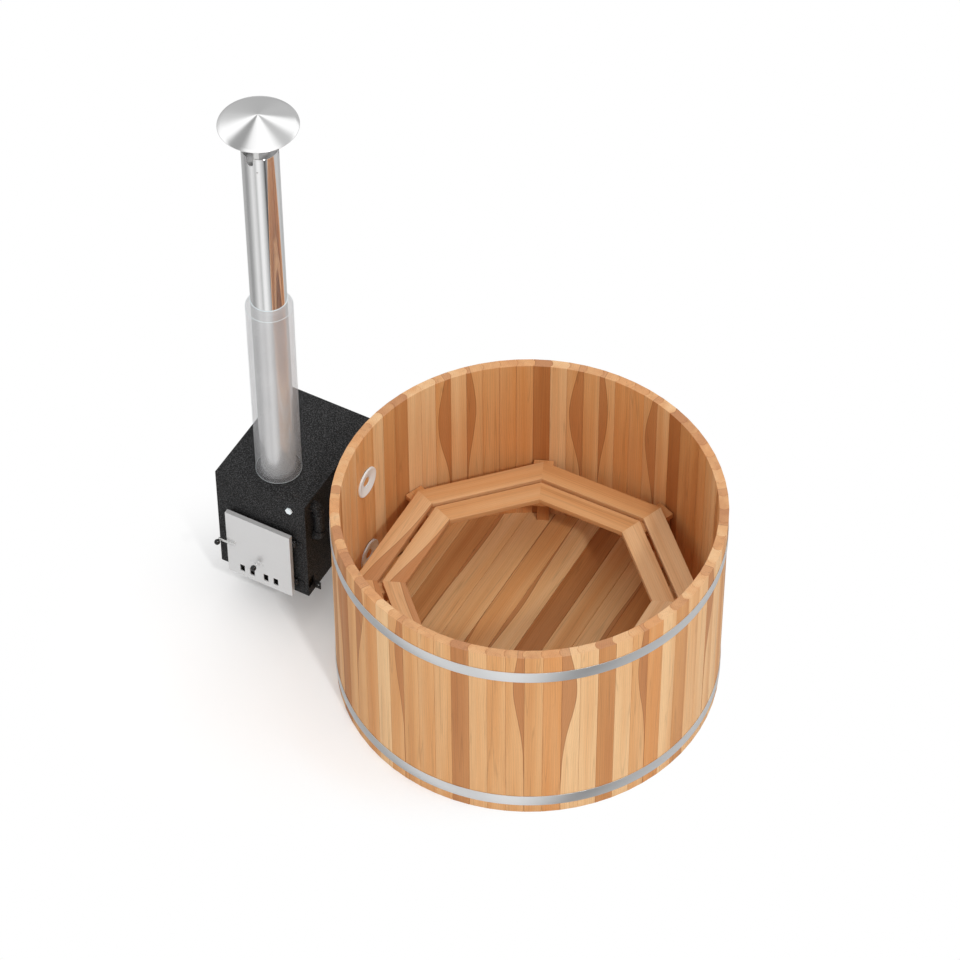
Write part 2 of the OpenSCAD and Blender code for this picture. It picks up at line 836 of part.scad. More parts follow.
// Door front: a folded pan with four air holes, the stem's slot and the latch pin's hole
module door_panel() {
    color(bright) difference() {
        block([door_x0, door_y0, door_z0], [door_x1, door_y1, door_z1]);
        block([door_x0 + sheet_t, door_y0 + sheet_t, door_z0 + sheet_t],
              [door_x1 - sheet_t, door_y1 + 1, door_z1 - sheet_t]);
        for (x = hole_x)
            block([x - hole_w / 2, door_y0 - 1, hole_z - hole_h / 2],
                  [x + hole_w / 2, door_y0 + 10, hole_z + hole_h / 2]);
        block([stem_x - 3.4, door_y0 - 1, stem_z - 3.4],
              [stem_x + slide_travel + 3.4, door_y0 + 10, stem_z + 3.4]);
        rod_y([latch_x, door_y0 - 1, latch_z], 5.05, 10);
    }
}

// Inner heat shield, with one wide slot behind the air holes
module door_liner() {
    color(galvanised) difference() {
        block([door_x0 + sheet_t + 0.2, door_y1 - sheet_t, door_z0 + sheet_t + 0.2],
              [door_x1 - sheet_t - 0.2, door_y1, door_z1 - sheet_t - 0.2]);
        block([hole_x[0] - hole_w / 2, door_y1 - 10, hole_z - hole_h / 2 + 2],
              [hole_x[3] + hole_w / 2, door_y1 + 1, hole_z + hole_h / 2]);
        rod_y([latch_x, door_y1 - 10, latch_z], 5.05, 20);
    }
}

// Flat rope seal that meets the throat's edge
module door_gasket() {
    seal = 6;
    color(pale_fitting) difference() {
        block([stove_x - throat_w / 2 - seal, door_y1 + 0.1, throat_z0 - seal],
              [stove_x + throat_w / 2 + seal, throat_y - thin_gap, throat_z0 + throat_h + seal]);
        block([stove_x - throat_w / 2 + seal, door_y1 - 1, throat_z0 + seal],
              [stove_x + throat_w / 2 - seal, throat_y + 1, throat_z0 + throat_h - seal]);
    }
}

// Latch: pin through the door, handle rod outside, tongue inside
module latch_rod() {
    tongue_y = throat_y + 2;
    color(bright) {
        rod_y([latch_x, latch_y, latch_z], 5, tongue_y + 4 - latch_y);
        rod_x([latch_x - latch_len, latch_y, latch_z], 6, latch_len + 5);
        rod_y([latch_x - latch_len + 6, latch_y - 14, latch_z], 3, 14);
        block([latch_x - 52, tongue_y, latch_z - 9], [latch_x + 4, tongue_y + 4, latch_z + 9]);
    }
}

module latch_knob() {
    color(rubber) difference() {
        translate([latch_x - latch_len + 6, latch_y - 22, latch_z]) sphere(r = ball_knob_r);
        rod_y([latch_x - latch_len + 6, latch_y - 14, latch_z], 3, 20);
    }
}

// Air slide behind the door's front, with the stem and the strip that covers its slot
module air_slide() {
    color(bright) {
        difference() {
            union() {
                block([hole_x[0] - 16, slide_y, hole_z - slide_half],
                      [hole_x[3] + 16, slide_y + slide_t, hole_z + slide_half]);
                block([stem_x - 14, slide_y, hole_z + slide_half - 6],
                      [stem_x + 14, slide_y + slide_t, stem_z + 12]);
            }
            for (x = hole_x)
                block([x - hole_w / 2, slide_y - 1, hole_z - hole_h / 2],
                      [x + hole_w / 2, slide_y + slide_t + 1, hole_z + hole_h / 2]);
        }
        rod_y([stem_x, door_y0 - 20, stem_z], 3, slide_y - door_y0 + 20.5);
        block([stem_x - 31, door_y0 - 1.5, stem_z - 7], [stem_x + 31, door_y0 - thin_gap, stem_z + 7]);
    }
}

module air_knob() {
    color(rubber) difference() {
        translate([stem_x, door_y0 - 30, stem_z]) sphere(r = ball_knob_r);
        rod_y([stem_x, door_y0 - 20, stem_z], 3, 20);
    }
}

// Lipped rails above and below the slide, fixed behind the door's front
module slide_guide(x0, x1, side) {
    guide_y = door_y0 + sheet_t;
    lip_y = slide_y + slide_t + thin_gap;
    edge = side * (slide_half + 0.3);
    outer = side * (slide_half + 6);
    inner = side * (slide_half - 5);
    color(galvanised) {
        block([x0, guide_y, hole_z + min(edge, outer)], [x1, lip_y + 2, hole_z + max(edge, outer)]);
        block([x0, lip_y, hole_z + min(inner, outer)], [x1, lip_y + 2, hole_z + max(inner, outer)]);
    }
}

module slide_guides() {
    rail_x0 = hole_x[0] - 19;
    rail_x1 = hole_x[3] + 19 + slide_travel;
    tab_gap = 17;
    slide_guide(rail_x0, rail_x1, -1);
    slide_guide(rail_x0, stem_x - tab_gap, 1);
    slide_guide(stem_x + tab_gap + slide_travel, rail_x1, 1);
}

// Flashing ring on the shell's top
module flue_rosette() {
    color(black_coat) translate([flue_x, flue_y, shell_top_z]) rotate_extrude()
        polygon([[flue_r + 0.5, 0.1], [flue_r + 16, 0.1], [flue_r + 16, 1.5], [flue_r + 4, 3.5],
                 [flue_r + 0.5, 3.5]]);
}

// A straight tube on the flue's axis
module flue_tube(z0, z1, r_out, wall) {
    translate([flue_x, flue_y, z0]) difference() {
        cylinder(r = r_out, h = z1 - z0, $fn = 180);
        translate([0, 0, -1]) cylinder(r = r_out - wall, h = z1 - z0 + 2, $fn = 180);
    }
}

module lower_flue() {
    color(bright) flue_tube(jacket_z1 + 1, flue_joint_z, flue_r, flue_wall);
}

// Upper pipe, its lower end swaged to enter the lower pipe, with three U-shaped slots at the top
module upper_flue() {
    swage_r = flue_r - flue_wall - 0.1;
    color(bright) difference() {
        union() {
            rod_z([flue_x, flue_y, flue_joint_z], flue_r, flue_top_z - flue_joint_z, $fn = 180);
            rod_z([flue_x, flue_y, flue_joint_z - swage_len], swage_r, swage_len + 1, $fn = 180);
        }
        rod_z([flue_x, flue_y, flue_joint_z - swage_len - 1], swage_r - flue_wall, 100, $fn = 180);
        rod_z([flue_x, flue_y, flue_joint_z + 2], flue_r - flue_wall, flue_top_z, $fn = 180);
        for (angle = cap_angles)
            translate([flue_x, flue_y, flue_top_z - slot_depth]) rotate(angle) {
                block([flue_r - 12, -slot_w / 2, slot_w / 2], [flue_r + 5, slot_w / 2, slot_depth + 1]);
                rod_x([flue_r - 12, 0, slot_w / 2], slot_w / 2, 17);
            }
    }
}

module guard_sleeve() {
    color(galvanised) {
        flue_tube(shell_top_z + 0.2, guard_top_z, guard_r, 1);
    }
}

module guard_collar() {
    color(galvanised) translate([flue_x, flue_y, guard_top_z]) rotate_extrude()
        polygon([[guard_r - 1, 0.1], [guard_r, 0.1], [guard_r, 3], [flue_r + 1.4, guard_collar_h],
                 [flue_r + 0.2, guard_collar_h], [flue_r + 0.2, guard_collar_h - 1.6]]);
}

module cap_cone() {
    cap_t = 1.5;
    color(bright) translate([flue_x, flue_y, cap_z]) rotate_extrude($fn = 180)
        polygon([[0, cap_rise], [cap_d / 2, 0], [cap_d / 2, -cap_t], [0, cap_rise - cap_t]]);
}

// Straps from inside the pipe up to the cone, their upper ends bent in along its slope
strap_w = 22;
strap_t = 2;
strap_r = flue_r - flue_wall - 2.4;
strap_turn = 22;
strap_low_z = flue_top_z - 90;

function under_cone(r) = cap_z + cap_rise * (1 - r / (cap_d / 2)) - 2.1;

module at_straps() {
    for (angle = cap_angles)
        translate([flue_x, flue_y, 0]) rotate(angle + strap_turn) children();
}

module cap_straps() {
    tab_r = strap_r - 24;
    inner_r = strap_r - strap_t;
    color(steel) at_straps()
        translate([0, strap_w / 2, 0]) rotate([90, 0, 0]) linear_extrude(strap_w)
            polygon([[inner_r, strap_low_z], [strap_r, strap_low_z], [strap_r, under_cone(strap_r)],
                     [tab_r, under_cone(tab_r)], [tab_r, under_cone(tab_r) - strap_t],
                     [inner_r, under_cone(inner_r) - strap_t]]);
}

module cap_rivets() {
    color(steel) at_straps()
        translate([flue_r, 0, strap_low_z + 20]) rotate([0, 90, 0]) {
            translate([0, 0, -5]) cylinder(r = 2.5, h = 5.2);
            translate([0, 0, -0.2]) low_dome(4.5, 2);
        }
}

staves_front();
staves_right();
staves_back();
staves_left();
upper_hoop();
lower_hoop();
hoop_bolts();
hoop_nuts();
floor_boards();
floor_joists();
outer_bench_boards();
inner_bench_boards();
bench_arms();
bench_legs();
bench_braces();
bench_screws();
wall_flanges();
port_gaskets();
port_nuts();
upper_hose();
lower_hose();
hose_clamps();
drain_strainer();
drain_pipe();
drain_valve();
drain_ball();
drain_lever();
stove_shell();
shell_base();
shell_screws();
water_jacket();
smoke_baffle();
fire_grate();
jacket_plug();
side_riser();
riser_elbows();
stand_frame();
stand_legs();
stand_feet();
latch_keeper();
hinge_brackets();
hinge_pins();
door_panel();
door_liner();
door_gasket();
door_knuckles();
latch_rod();
latch_knob();
air_slide();
air_knob();
slide_guides();
flue_rosette();
lower_flue();
upper_flue();
guard_sleeve();
guard_collar();
cap_cone();
cap_straps();
cap_rivets();
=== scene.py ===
"""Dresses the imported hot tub: wood grain, metal finishes, eased edges, floor, light and camera.

All lengths are in metres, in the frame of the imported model: the origin is the middle of the tub's
foot on the ground, +Z is up, and the stove stands on the -X side with its door facing -Y.
"""

from math import cos, pi, radians, sin, tan

import bmesh
import bpy
import numpy as np
from bpy.props import FloatProperty, FloatVectorProperty, IntProperty, PointerProperty
from bpy.types import Operator, Panel, PropertyGroup
from mathutils import Euler, Matrix


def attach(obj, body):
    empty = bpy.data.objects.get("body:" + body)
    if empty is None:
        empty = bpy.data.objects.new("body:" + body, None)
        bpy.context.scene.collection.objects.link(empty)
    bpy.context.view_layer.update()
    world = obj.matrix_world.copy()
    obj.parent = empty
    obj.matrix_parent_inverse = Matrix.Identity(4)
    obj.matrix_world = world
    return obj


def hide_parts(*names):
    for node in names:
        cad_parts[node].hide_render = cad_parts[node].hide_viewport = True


bl_info = {
    "name": "Wooden Hot Tub",
    "version": (1, 0, 0),
    "blender": (4, 5, 0),
    "location": "View3D > Sidebar > Hot Tub",
    "description": "Dresses a stave hot tub with its bench, stove and flue",
    "category": "Object",
}

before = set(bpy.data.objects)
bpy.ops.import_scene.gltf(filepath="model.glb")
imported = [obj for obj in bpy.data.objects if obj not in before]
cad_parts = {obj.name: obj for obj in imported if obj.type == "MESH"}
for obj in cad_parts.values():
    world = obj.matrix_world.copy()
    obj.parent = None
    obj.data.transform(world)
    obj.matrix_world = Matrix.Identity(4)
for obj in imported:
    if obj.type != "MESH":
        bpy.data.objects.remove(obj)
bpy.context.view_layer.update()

# Staves are counted anticlockwise from +X. These stand out from their neighbours: tone from 0 to 1
DARK_STAVES = {
    4: 0.8, 10: 0.58, 11: 0.60, 12: 1.0, 21: 0.95, 30: 0.75, 31: 0.70, 41: 0.8, 43: 0.85, 52: 0.82,
    54: 0.46, 55: 0.5, 56: 0.5, 60: 0.68, 65: 0.66,
}
PALE_STAVES = (0, 1, 7, 13, 20, 26, 28, 29, 32, 35, 36, 37, 40, 47, 58, 59, 61, 64, 66, 67)
ORANGE_STAVES = (9, 10, 15, 16, 22, 23, 34, 39, 46, 57, 63)
# Dark heartwood along the clockwise edge, widest at the height given
TEARDROP_STAVES = {0: 0.88, 6: 0.80, 14: 0.78, 19: 0.76, 27: 0.78, 38: 0.84, 45: 0.93, 58: 0.81}
# The same along the other edge, narrower and redder
SPINDLE_STAVES = {3: 0.80, 17: 0.82, 25: 0.80, 42: 0.80, 48: 0.84, 55: 0.85, 62: 0.80}

# The floor boards from -X to +X: tone from pale 0 to dark 1, and how orange it is
FLOOR_BOARDS = (
    (0.45, 0.2), (0.35, 0.1), (0.74, 0.0), (0.24, 0.0), (0.32, 0.1), (0.38, 0.6), (0.22, 0.1),
    (0.92, 0.0), (0.34, 0.1), (0.30, 0.0), (0.75, 0.7), (0.40, 0.2), (0.85, 0.3), (0.35, 0.2),
    (0.5, 0.3),
)
# Floor boards with heartwood: side and width of it, and where along the board it is widest
FLOOR_HEARTS = {3: (0.16, 0.5), 5: (0.55, -0.45), 6: (0.18, 0.2), 9: (-0.14, 0.3), 12: (0.3, 0.1)}

# Tone of each bench board, counted anticlockwise from +X, and its heartwood as on the floor. The tones
# also hold painted light: boards 0 and 1 on the right are paler and board 2 at the back darker, evening
# out the sun across the bench
BENCH_TONES_AND_PAINTED_LIGHT = (0.10, 0.12, 0.52, 0.36, 0.20, 0.22, 0.24, 0.18)
BENCH_HEARTS = {4: (0.70, 0.30), 5: (-0.28, -0.05)}

# Tones that the studio shows in metal, as the display shows them. Round the horizon, seen from the
# object and looking down: (degrees anticlockwise from +X, tone)
LOW_TONES = (
    (-180, 165), (-163, 140), (-148, 155), (-131, 195), (-117, 224), (-105, 214), (-92, 186),
    (-80, 238), (-68, 240), (-56, 210), (-46, 176), (-38, 120), (-35, 20), (-30, 60), (-22, 134),
    (0, 168), (28, 182), (55, 196), (75, 176), (120, 196), (180, 165),
)
# Overhead, on the left and the right of the camera: (height of the direction on the unit sphere, tone)
LEFT_TONES = (
    (0.0, 172), (0.13, 180), (0.28, 188), (0.33, 194), (0.38, 202), (0.44, 207), (0.49, 220),
    (0.55, 240), (0.6, 256), (0.66, 264), (0.75, 264), (0.79, 240), (0.82, 192), (0.845, 160),
    (0.925, 154), (0.945, 190), (0.965, 250), (1.0, 266),
)
RIGHT_TONES = (
    (0.0, 172), (0.13, 176), (0.2, 185), (0.28, 188), (0.38, 186), (0.45, 180), (0.49, 200),
    (0.53, 250), (0.57, 260), (0.68, 264), (0.73, 256), (0.78, 218), (0.82, 196), (0.87, 194),
    (0.9, 200), (0.925, 236), (0.95, 262), (1.0, 266),
)

FLUE_AXIS, PIPE_RADIUS, PIPE_BORE = (-1.168, -0.135, 0.0), 0.078, 0.077
PORT_HEIGHTS = {"lower_hose": 0.27, "upper_hose": 0.75}
FLOOR_PITCH, FLOOR_BOTTOM, FLOOR_TOP = 0.109, 0.034, 0.068
HOOP_BOTTOMS = {"upper_hoop": 0.884, "lower_hoop": 0.050}
BENCH_SIDES = 8
EASE_STEPS = 3  # spans in every small arc that rounds an edge

MATERIALS, GROUPS = {}, {}


def srgb(r, g, b):
    """A display colour in 0-255 as linear light: ((c + 0.055) / 1.055) ** 2.4 above the toe."""
    c = np.array([r, g, b]) / 255
    c = np.where(c <= 0.04045, c / 12.92, ((c + 0.055) / 1.055) ** 2.4)
    return tuple(float(round(v, 4)) for v in c)


# ---------------------------------------------------------------- sizes and colours

class TubSizes(PropertyGroup):
    """Sizes of the wooden pieces."""
    radius: FloatProperty(name="Radius", description="Outside radius of the wall",
                          default=0.85, unit="LENGTH")
    height: FloatProperty(name="Height", description="Height of the wall",
                          default=1.04, unit="LENGTH")
    stave_t: FloatProperty(name="Stave", description="Thickness of a stave",
                           default=0.042, unit="LENGTH")
    staves: IntProperty(name="Staves", description="Number of staves",
                        default=68, min=12, subtype="UNSIGNED")
    bead: FloatProperty(name="Bead", description="Reach of a stave's bead into its neighbour's cove",
                        default=0.009, unit="LENGTH")
    phase: FloatProperty(name="Phase", description="Turn of the first stave joint from +X",
                         default=radians(0.5), subtype="ANGLE")
    edge: FloatProperty(name="Edge", description="Radius of the eased board edges",
                        default=0.0018, unit="LENGTH")
    bench_turn: FloatProperty(name="Bench turn", description="Turn of the bench from +X",
                              default=radians(0.7), subtype="ANGLE")


class WoodLook(PropertyGroup):
    """Colours of the wood, from pale sapwood to dark heartwood."""
    pale: FloatVectorProperty(name="Pale", description="Pale sapwood",
                              subtype="COLOR", default=srgb(236, 193, 142))
    warm: FloatVectorProperty(name="Warm", description="Ordinary board",
                              subtype="COLOR", default=srgb(219, 161, 103))
    brown: FloatVectorProperty(name="Brown", description="Dark board",
                               subtype="COLOR", default=srgb(178, 112, 60))
    heart: FloatVectorProperty(name="Heart", description="Heartwood",
                               subtype="COLOR", default=srgb(186, 120, 68))
    cut: FloatVectorProperty(name="End grain", description="Sawn ends",
                             subtype="COLOR", default=srgb(226, 184, 150))
    orange: FloatVectorProperty(name="Orange", description="Orange boards",
                                subtype="COLOR", default=srgb(214, 143, 79))


class MetalLook(PropertyGroup):
    """Colours of the metals."""
    bright: FloatVectorProperty(name="Bright", description="Polished steel",
                                subtype="COLOR", default=(0.95, 0.95, 0.95))
    brushed: FloatVectorProperty(name="Brushed", description="Brushed steel",
                                 subtype="COLOR", default=(0.88, 0.885, 0.89))
    door: FloatVectorProperty(name="Door", description="Door front",
                              subtype="COLOR", default=(0.79, 0.79, 0.79))
    coat: FloatVectorProperty(name="Coat", description="Speckled coat",
                              subtype="COLOR", default=(0.0145, 0.0145, 0.015))


class StageLook(PropertyGroup):
    """Light of the studio."""
    fill: FloatProperty(name="Fill", description="Strength of the even light from all round",
                        default=0.64, subtype="UNSIGNED")
    key: FloatProperty(name="Key", description="Strength of the soft sun",
                       default=0.84, subtype="UNSIGNED")


def tub():
    return bpy.context.scene.tub_sizes


# ---------------------------------------------------------------- shapes

def rectangle(left, right, low, high):
    """Corners of an outline, anticlockwise from the lower left one."""
    return [(left, low), (right, low), (right, high), (left, high)]


def rounded_section(corners, radius, inset=0.0):
    """A convex anticlockwise outline with rounded corners. Every corner gives way to an arc of the
    given radius about the point that lies that far inside both sides; an inset shrinks the arcs."""
    corners = np.asarray(corners, float)
    ahead = np.roll(corners, -1, axis=0) - corners
    normal = np.stack([ahead[:, 1], -ahead[:, 0]], 1) / np.linalg.norm(ahead, axis=1)[:, None]
    before = np.roll(normal, 1, axis=0)
    centre = corners - radius * (before + normal) / (1 + (before * normal).sum(1))[:, None]
    start = np.arctan2(before[:, 1], before[:, 0])
    turn = (np.arctan2(normal[:, 1], normal[:, 0]) - start) % (2 * pi)
    angle = start[:, None] + turn[:, None] * np.linspace(0, 1, EASE_STEPS + 1)
    arc = np.stack([np.cos(angle), np.sin(angle)], -1) * (radius - inset)
    return (centre[:, None, :] + arc).reshape(-1, 2)


def eased_stations(length, radius):
    """(distance along a bar, inset of its section there): a quarter arc at either end, so that
    distance = radius * (1 - cos a) and inset = radius * (1 - sin a)."""
    a = np.linspace(0, pi / 2, EASE_STEPS + 1)
    near = np.stack([radius * (1 - np.cos(a)), radius * (1 - np.sin(a))], 1)
    far = np.stack([length - near[::-1, 0], near[::-1, 1]], 1)
    return np.concatenate([near, far])


def loft_faces(stations, points, closed_path=False, sheet=False):
    """Quads between the rings of a loft, with a many-sided face on each open end. A sheet's rings
    aren't closed."""
    spans = stations if closed_path else stations - 1
    i, j = np.meshgrid(np.arange(spans), np.arange(points - sheet), indexing="ij")
    after_i, after_j = (i + 1) % stations, (j + 1) % points
    quads = np.stack([i * points + j, i * points + after_j,
                      after_i * points + after_j, after_i * points + j], -1)
    faces = quads.reshape(-1, 4).tolist()
    if not closed_path:
        faces.append(np.arange(points)[::-1].tolist())
        faces.append((np.arange(points) + (stations - 1) * points).tolist())
    return faces


def turned(points, angle):
    """Points turned about Z: x' = x cos a - y sin a, y' = x sin a + y cos a."""
    c, s = np.cos(angle), np.sin(angle)
    x, y, z = points[..., 0], points[..., 1], points[..., 2]
    return np.stack([x * c - y * s, x * s + y * c, z], -1)


def softened(outline, corners, radius):
    """An outline with the listed corners cut back by the radius along both sides and joined there
    by a small curve: a quarter of either cut point plus half of the corner."""
    outline, kept = np.asarray(outline, float), []
    for index, corner in enumerate(outline):
        if index not in corners:
            kept.append(corner)
            continue
        sides = [outline[index - 1] - corner, outline[(index + 1) % len(outline)] - corner]
        before, after = (corner + side * radius / np.linalg.norm(side) for side in sides)
        kept += [before, 0.25 * before + 0.5 * corner + 0.25 * after, after]
    return np.array(kept)


def shrunk(outline, inset):
    """An anticlockwise outline moved inward along the mean of the two side normals at each point."""
    ahead = np.roll(outline, -1, axis=0) - outline
    normal = np.stack([ahead[:, 1], -ahead[:, 0]], 1) / np.linalg.norm(ahead, axis=1)[:, None]
    middle = normal + np.roll(normal, 1, axis=0)
    return outline - inset * middle / np.linalg.norm(middle, axis=1)[:, None]


def outward(points, faces):
    """The faces, all turned over where they enclose a negative volume: the sum over triangles
    fanned from each face's first point of a . (b x c), with points taken from their middle."""
    points = points - points.mean(0)
    corners = np.array([(face[0], face[k], face[k + 1])
                        for face in faces for k in range(1, len(face) - 1)])
    first, second, third = (points[corners[:, k]] for k in range(3))
    volume = (first * np.cross(second, third)).sum()
    return [face[::-1] for face in faces] if volume < 0 else faces


def swept(radius, height, angle):
    """Points (radius, height) carried round Z to each angle: x = r cos a, y = r sin a, z = h."""
    angle = angle[:, None]
    return np.stack([radius * np.cos(angle), radius * np.sin(angle), height + 0 * angle], -1)


class Shape:
    """Collects lofts into one mesh. Each point keeps its place in its board (grain), the board's
    seed, tone and half width (plank) and its heartwood (heart)."""

    def __init__(self):
        self.points, self.faces, self.count = [], [], 0
        self.notes = {"grain": [], "plank": [], "heart": []}

    def add(self, points, faces, grain=None, plank=(0, 0, 0), heart=(0, 0, 0)):
        flat = np.asarray(points, float).reshape(-1, 3)
        self.faces += [[v + self.count for v in face] for face in faces]
        self.points.append(flat)
        self.notes["grain"].append(flat if grain is None else np.asarray(grain, float).reshape(-1, 3))
        for label, value in (("plank", plank), ("heart", heart)):
            self.notes[label].append(np.tile(np.asarray(value, float), (len(flat), 1)))
        self.count += len(flat)

    def loft(self, rings, grain=None, plank=(0, 0, 0), heart=(0, 0, 0)):
        """A bar through rings of points, closed at both ends."""
        faces = outward(rings.reshape(-1, 3), loft_faces(*rings.shape[:2]))
        self.add(rings, faces, grain, plank, heart)

    def lathe(self, profile, segments, centre, axis="Z", sheet=False):
        """A profile turned all round the axis: closed, or the open line of a sheet."""
        profile = np.asarray(profile, float)
        rings = swept(profile[:, 0], profile[:, 1], np.linspace(0, 2 * pi, segments, endpoint=False))
        rings = {"Z": rings, "X": rings[..., [2, 0, 1]], "-X": rings[..., [2, 1, 0]] * [-1, 1, 1],
                 "-Y": rings[..., [0, 2, 1]] * [1, -1, 1]}[axis] + np.asarray(centre, float)
        faces = loft_faces(*rings.shape[:2], closed_path=True, sheet=sheet)
        self.add(rings, faces if sheet else outward(rings.reshape(-1, 3), faces))

    def build(self, name, node, slot, finish, body="tub", smooth=35.0):
        """Makes the piece that stands for a CAD node, or for none where it is only trim."""
        mesh = bpy.data.meshes.new(name)
        mesh.from_pydata(np.concatenate(self.points).tolist(), [], self.faces)
        mesh.validate()
        for label, rows in self.notes.items():
            layer = mesh.attributes.new(label, "FLOAT_VECTOR", "POINT")
            layer.data.foreach_set("vector", np.concatenate(rows).astype(np.float32).ravel())
        settle(new_piece(mesh, finish, smooth), body, node)


def new_piece(mesh, finish, smooth):
    """An object with one finish, smooth across edges flatter than the given angle in degrees."""
    finished(mesh, finish)
    mesh.shade_smooth()
    mesh.set_sharp_from_angle(angle=radians(smooth))
    piece = bpy.data.objects.new(mesh.name, mesh)
    bpy.context.scene.collection.objects.link(piece)
    return piece


def finished(mesh, finish):
    """Gives a mesh one material in place of its own."""
    mesh.materials.clear()
    mesh.materials.append(MATERIALS[finish])


def settle(piece, body, node):
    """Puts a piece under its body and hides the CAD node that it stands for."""
    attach(piece, body)
    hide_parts(*([node] if node else []))


def eased_copy(node, finish, width, body="tub", segments=2):
    """A copy of a CAD node as whole faces, its sharp edges rounded over by a small bevel."""
    work = bmesh.new()
    work.from_mesh(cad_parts[node].data)
    bmesh.ops.remove_doubles(work, verts=work.verts, dist=1e-6)
    bmesh.ops.dissolve_limit(work, angle_limit=radians(0.3), verts=work.verts, edges=work.edges)
    mesh = bpy.data.meshes.new(node + "_eased")
    work.to_mesh(mesh)
    work.free()
    piece = new_piece(mesh, finish, 32.0)
    if width > 0:
        bevel = piece.modifiers.new("Eased edges", "BEVEL")
        bevel.width, bevel.segments, bevel.limit_method = width, segments, "ANGLE"
        bevel.angle_limit, bevel.harden_normals = radians(40), True
        bevel.use_clamp_overlap = True
    settle(piece, body, node)


def dress(finish, *nodes):
    """Gives CAD nodes that keep their own mesh a finish."""
    for node in nodes:
        finished(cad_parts[node].data, finish)


# ---------------------------------------------------------------- shader groups

def wire(tree, kind, values=None, **settings):
    """Adds a node: settings are its properties, and values fill its inputs: a socket is joined,
    and anything else is set."""
    made = tree.nodes.new(kind)
    for key, value in settings.items():
        setattr(made, key, value)
    for key, value in (values or {}).items():
        if isinstance(value, bpy.types.NodeSocket):
            tree.links.new(value, made.inputs[key])
        else:
            made.inputs[key].default_value = value
    return made


def maths(tree, operation, a, b=0.0, c=0.0, clamp=False):
    made = wire(tree, "ShaderNodeMath", {0: a, 1: b, 2: c}, operation=operation, use_clamp=clamp)
    return made.outputs[0]


def times(tree, a, b, clamp=False):
    return maths(tree, "MULTIPLY", a, b, clamp=clamp)


def madd(tree, a, b, c, clamp=False):
    """a times b plus c."""
    return maths(tree, "MULTIPLY_ADD", a, b, c, clamp)


def minus(tree, a, b):
    return maths(tree, "SUBTRACT", a, b)


def vector(tree, operation, a, b, result=0):
    return wire(tree, "ShaderNodeVectorMath", {0: a, 1: b}, operation=operation).outputs[result]


def scaled(tree, colour, gain):
    """A colour, plain or from a socket, made lighter or darker."""
    made = wire(tree, "ShaderNodeVectorMath", {0: colour, "Scale": gain}, operation="SCALE")
    return made.outputs[0]


def parts(tree, a):
    return wire(tree, "ShaderNodeSeparateXYZ", {0: a}).outputs


def packed(tree, x, y, z=0.0):
    return wire(tree, "ShaderNodeCombineXYZ", {0: x, 1: y, 2: z}).outputs[0]


def noise(tree, where, scale=1.0, detail=2.0, rough=0.5, stretch=None):
    """Noise at a place, which may first be scaled by a different number along each axis."""
    if stretch:
        where = vector(tree, "MULTIPLY", where, stretch)
    made = wire(tree, "ShaderNodeTexNoise",
                {"Vector": where, "Scale": scale, "Detail": detail, "Roughness": rough})
    return made.outputs["Fac"]


def blend_colour(tree, factor, a, b):
    """Mixes two colours; sockets or plain colours."""
    a, b = (value if isinstance(value, bpy.types.NodeSocket) else (*value, 1.0) for value in (a, b))
    return wire(tree, "ShaderNodeMix", {0: factor, 6: a, 7: b}, data_type="RGBA").outputs[2]


def give(tree, sockets, **values):
    """Joins values to the sockets of the same names, with spaces for underscores."""
    for key, value in values.items():
        tree.links.new(value, sockets[key.replace("_", " ")])


def ramp(tree, value, low, high):
    """Smooth step from 0 at low to 1 at high."""
    made = wire(tree, "ShaderNodeMapRange", {"Value": value, "From Min": low, "From Max": high},
                interpolation_type="SMOOTHSTEP")
    return made.outputs["Result"]


def new_group(name, inputs, outputs):
    """A shader node group with (kind, name, default) inputs and (kind, name) outputs."""
    tree = bpy.data.node_groups.new(name, "ShaderNodeTree")
    for kind, label, value in inputs:
        socket = tree.interface.new_socket(label, in_out="INPUT", socket_type="NodeSocket" + kind)
        if value is not None:
            socket.default_value = value
    for kind, label in outputs:
        tree.interface.new_socket(label, in_out="OUTPUT", socket_type="NodeSocket" + kind)
    return tree, tree.nodes.new("NodeGroupInput").outputs, tree.nodes.new("NodeGroupOutput").inputs


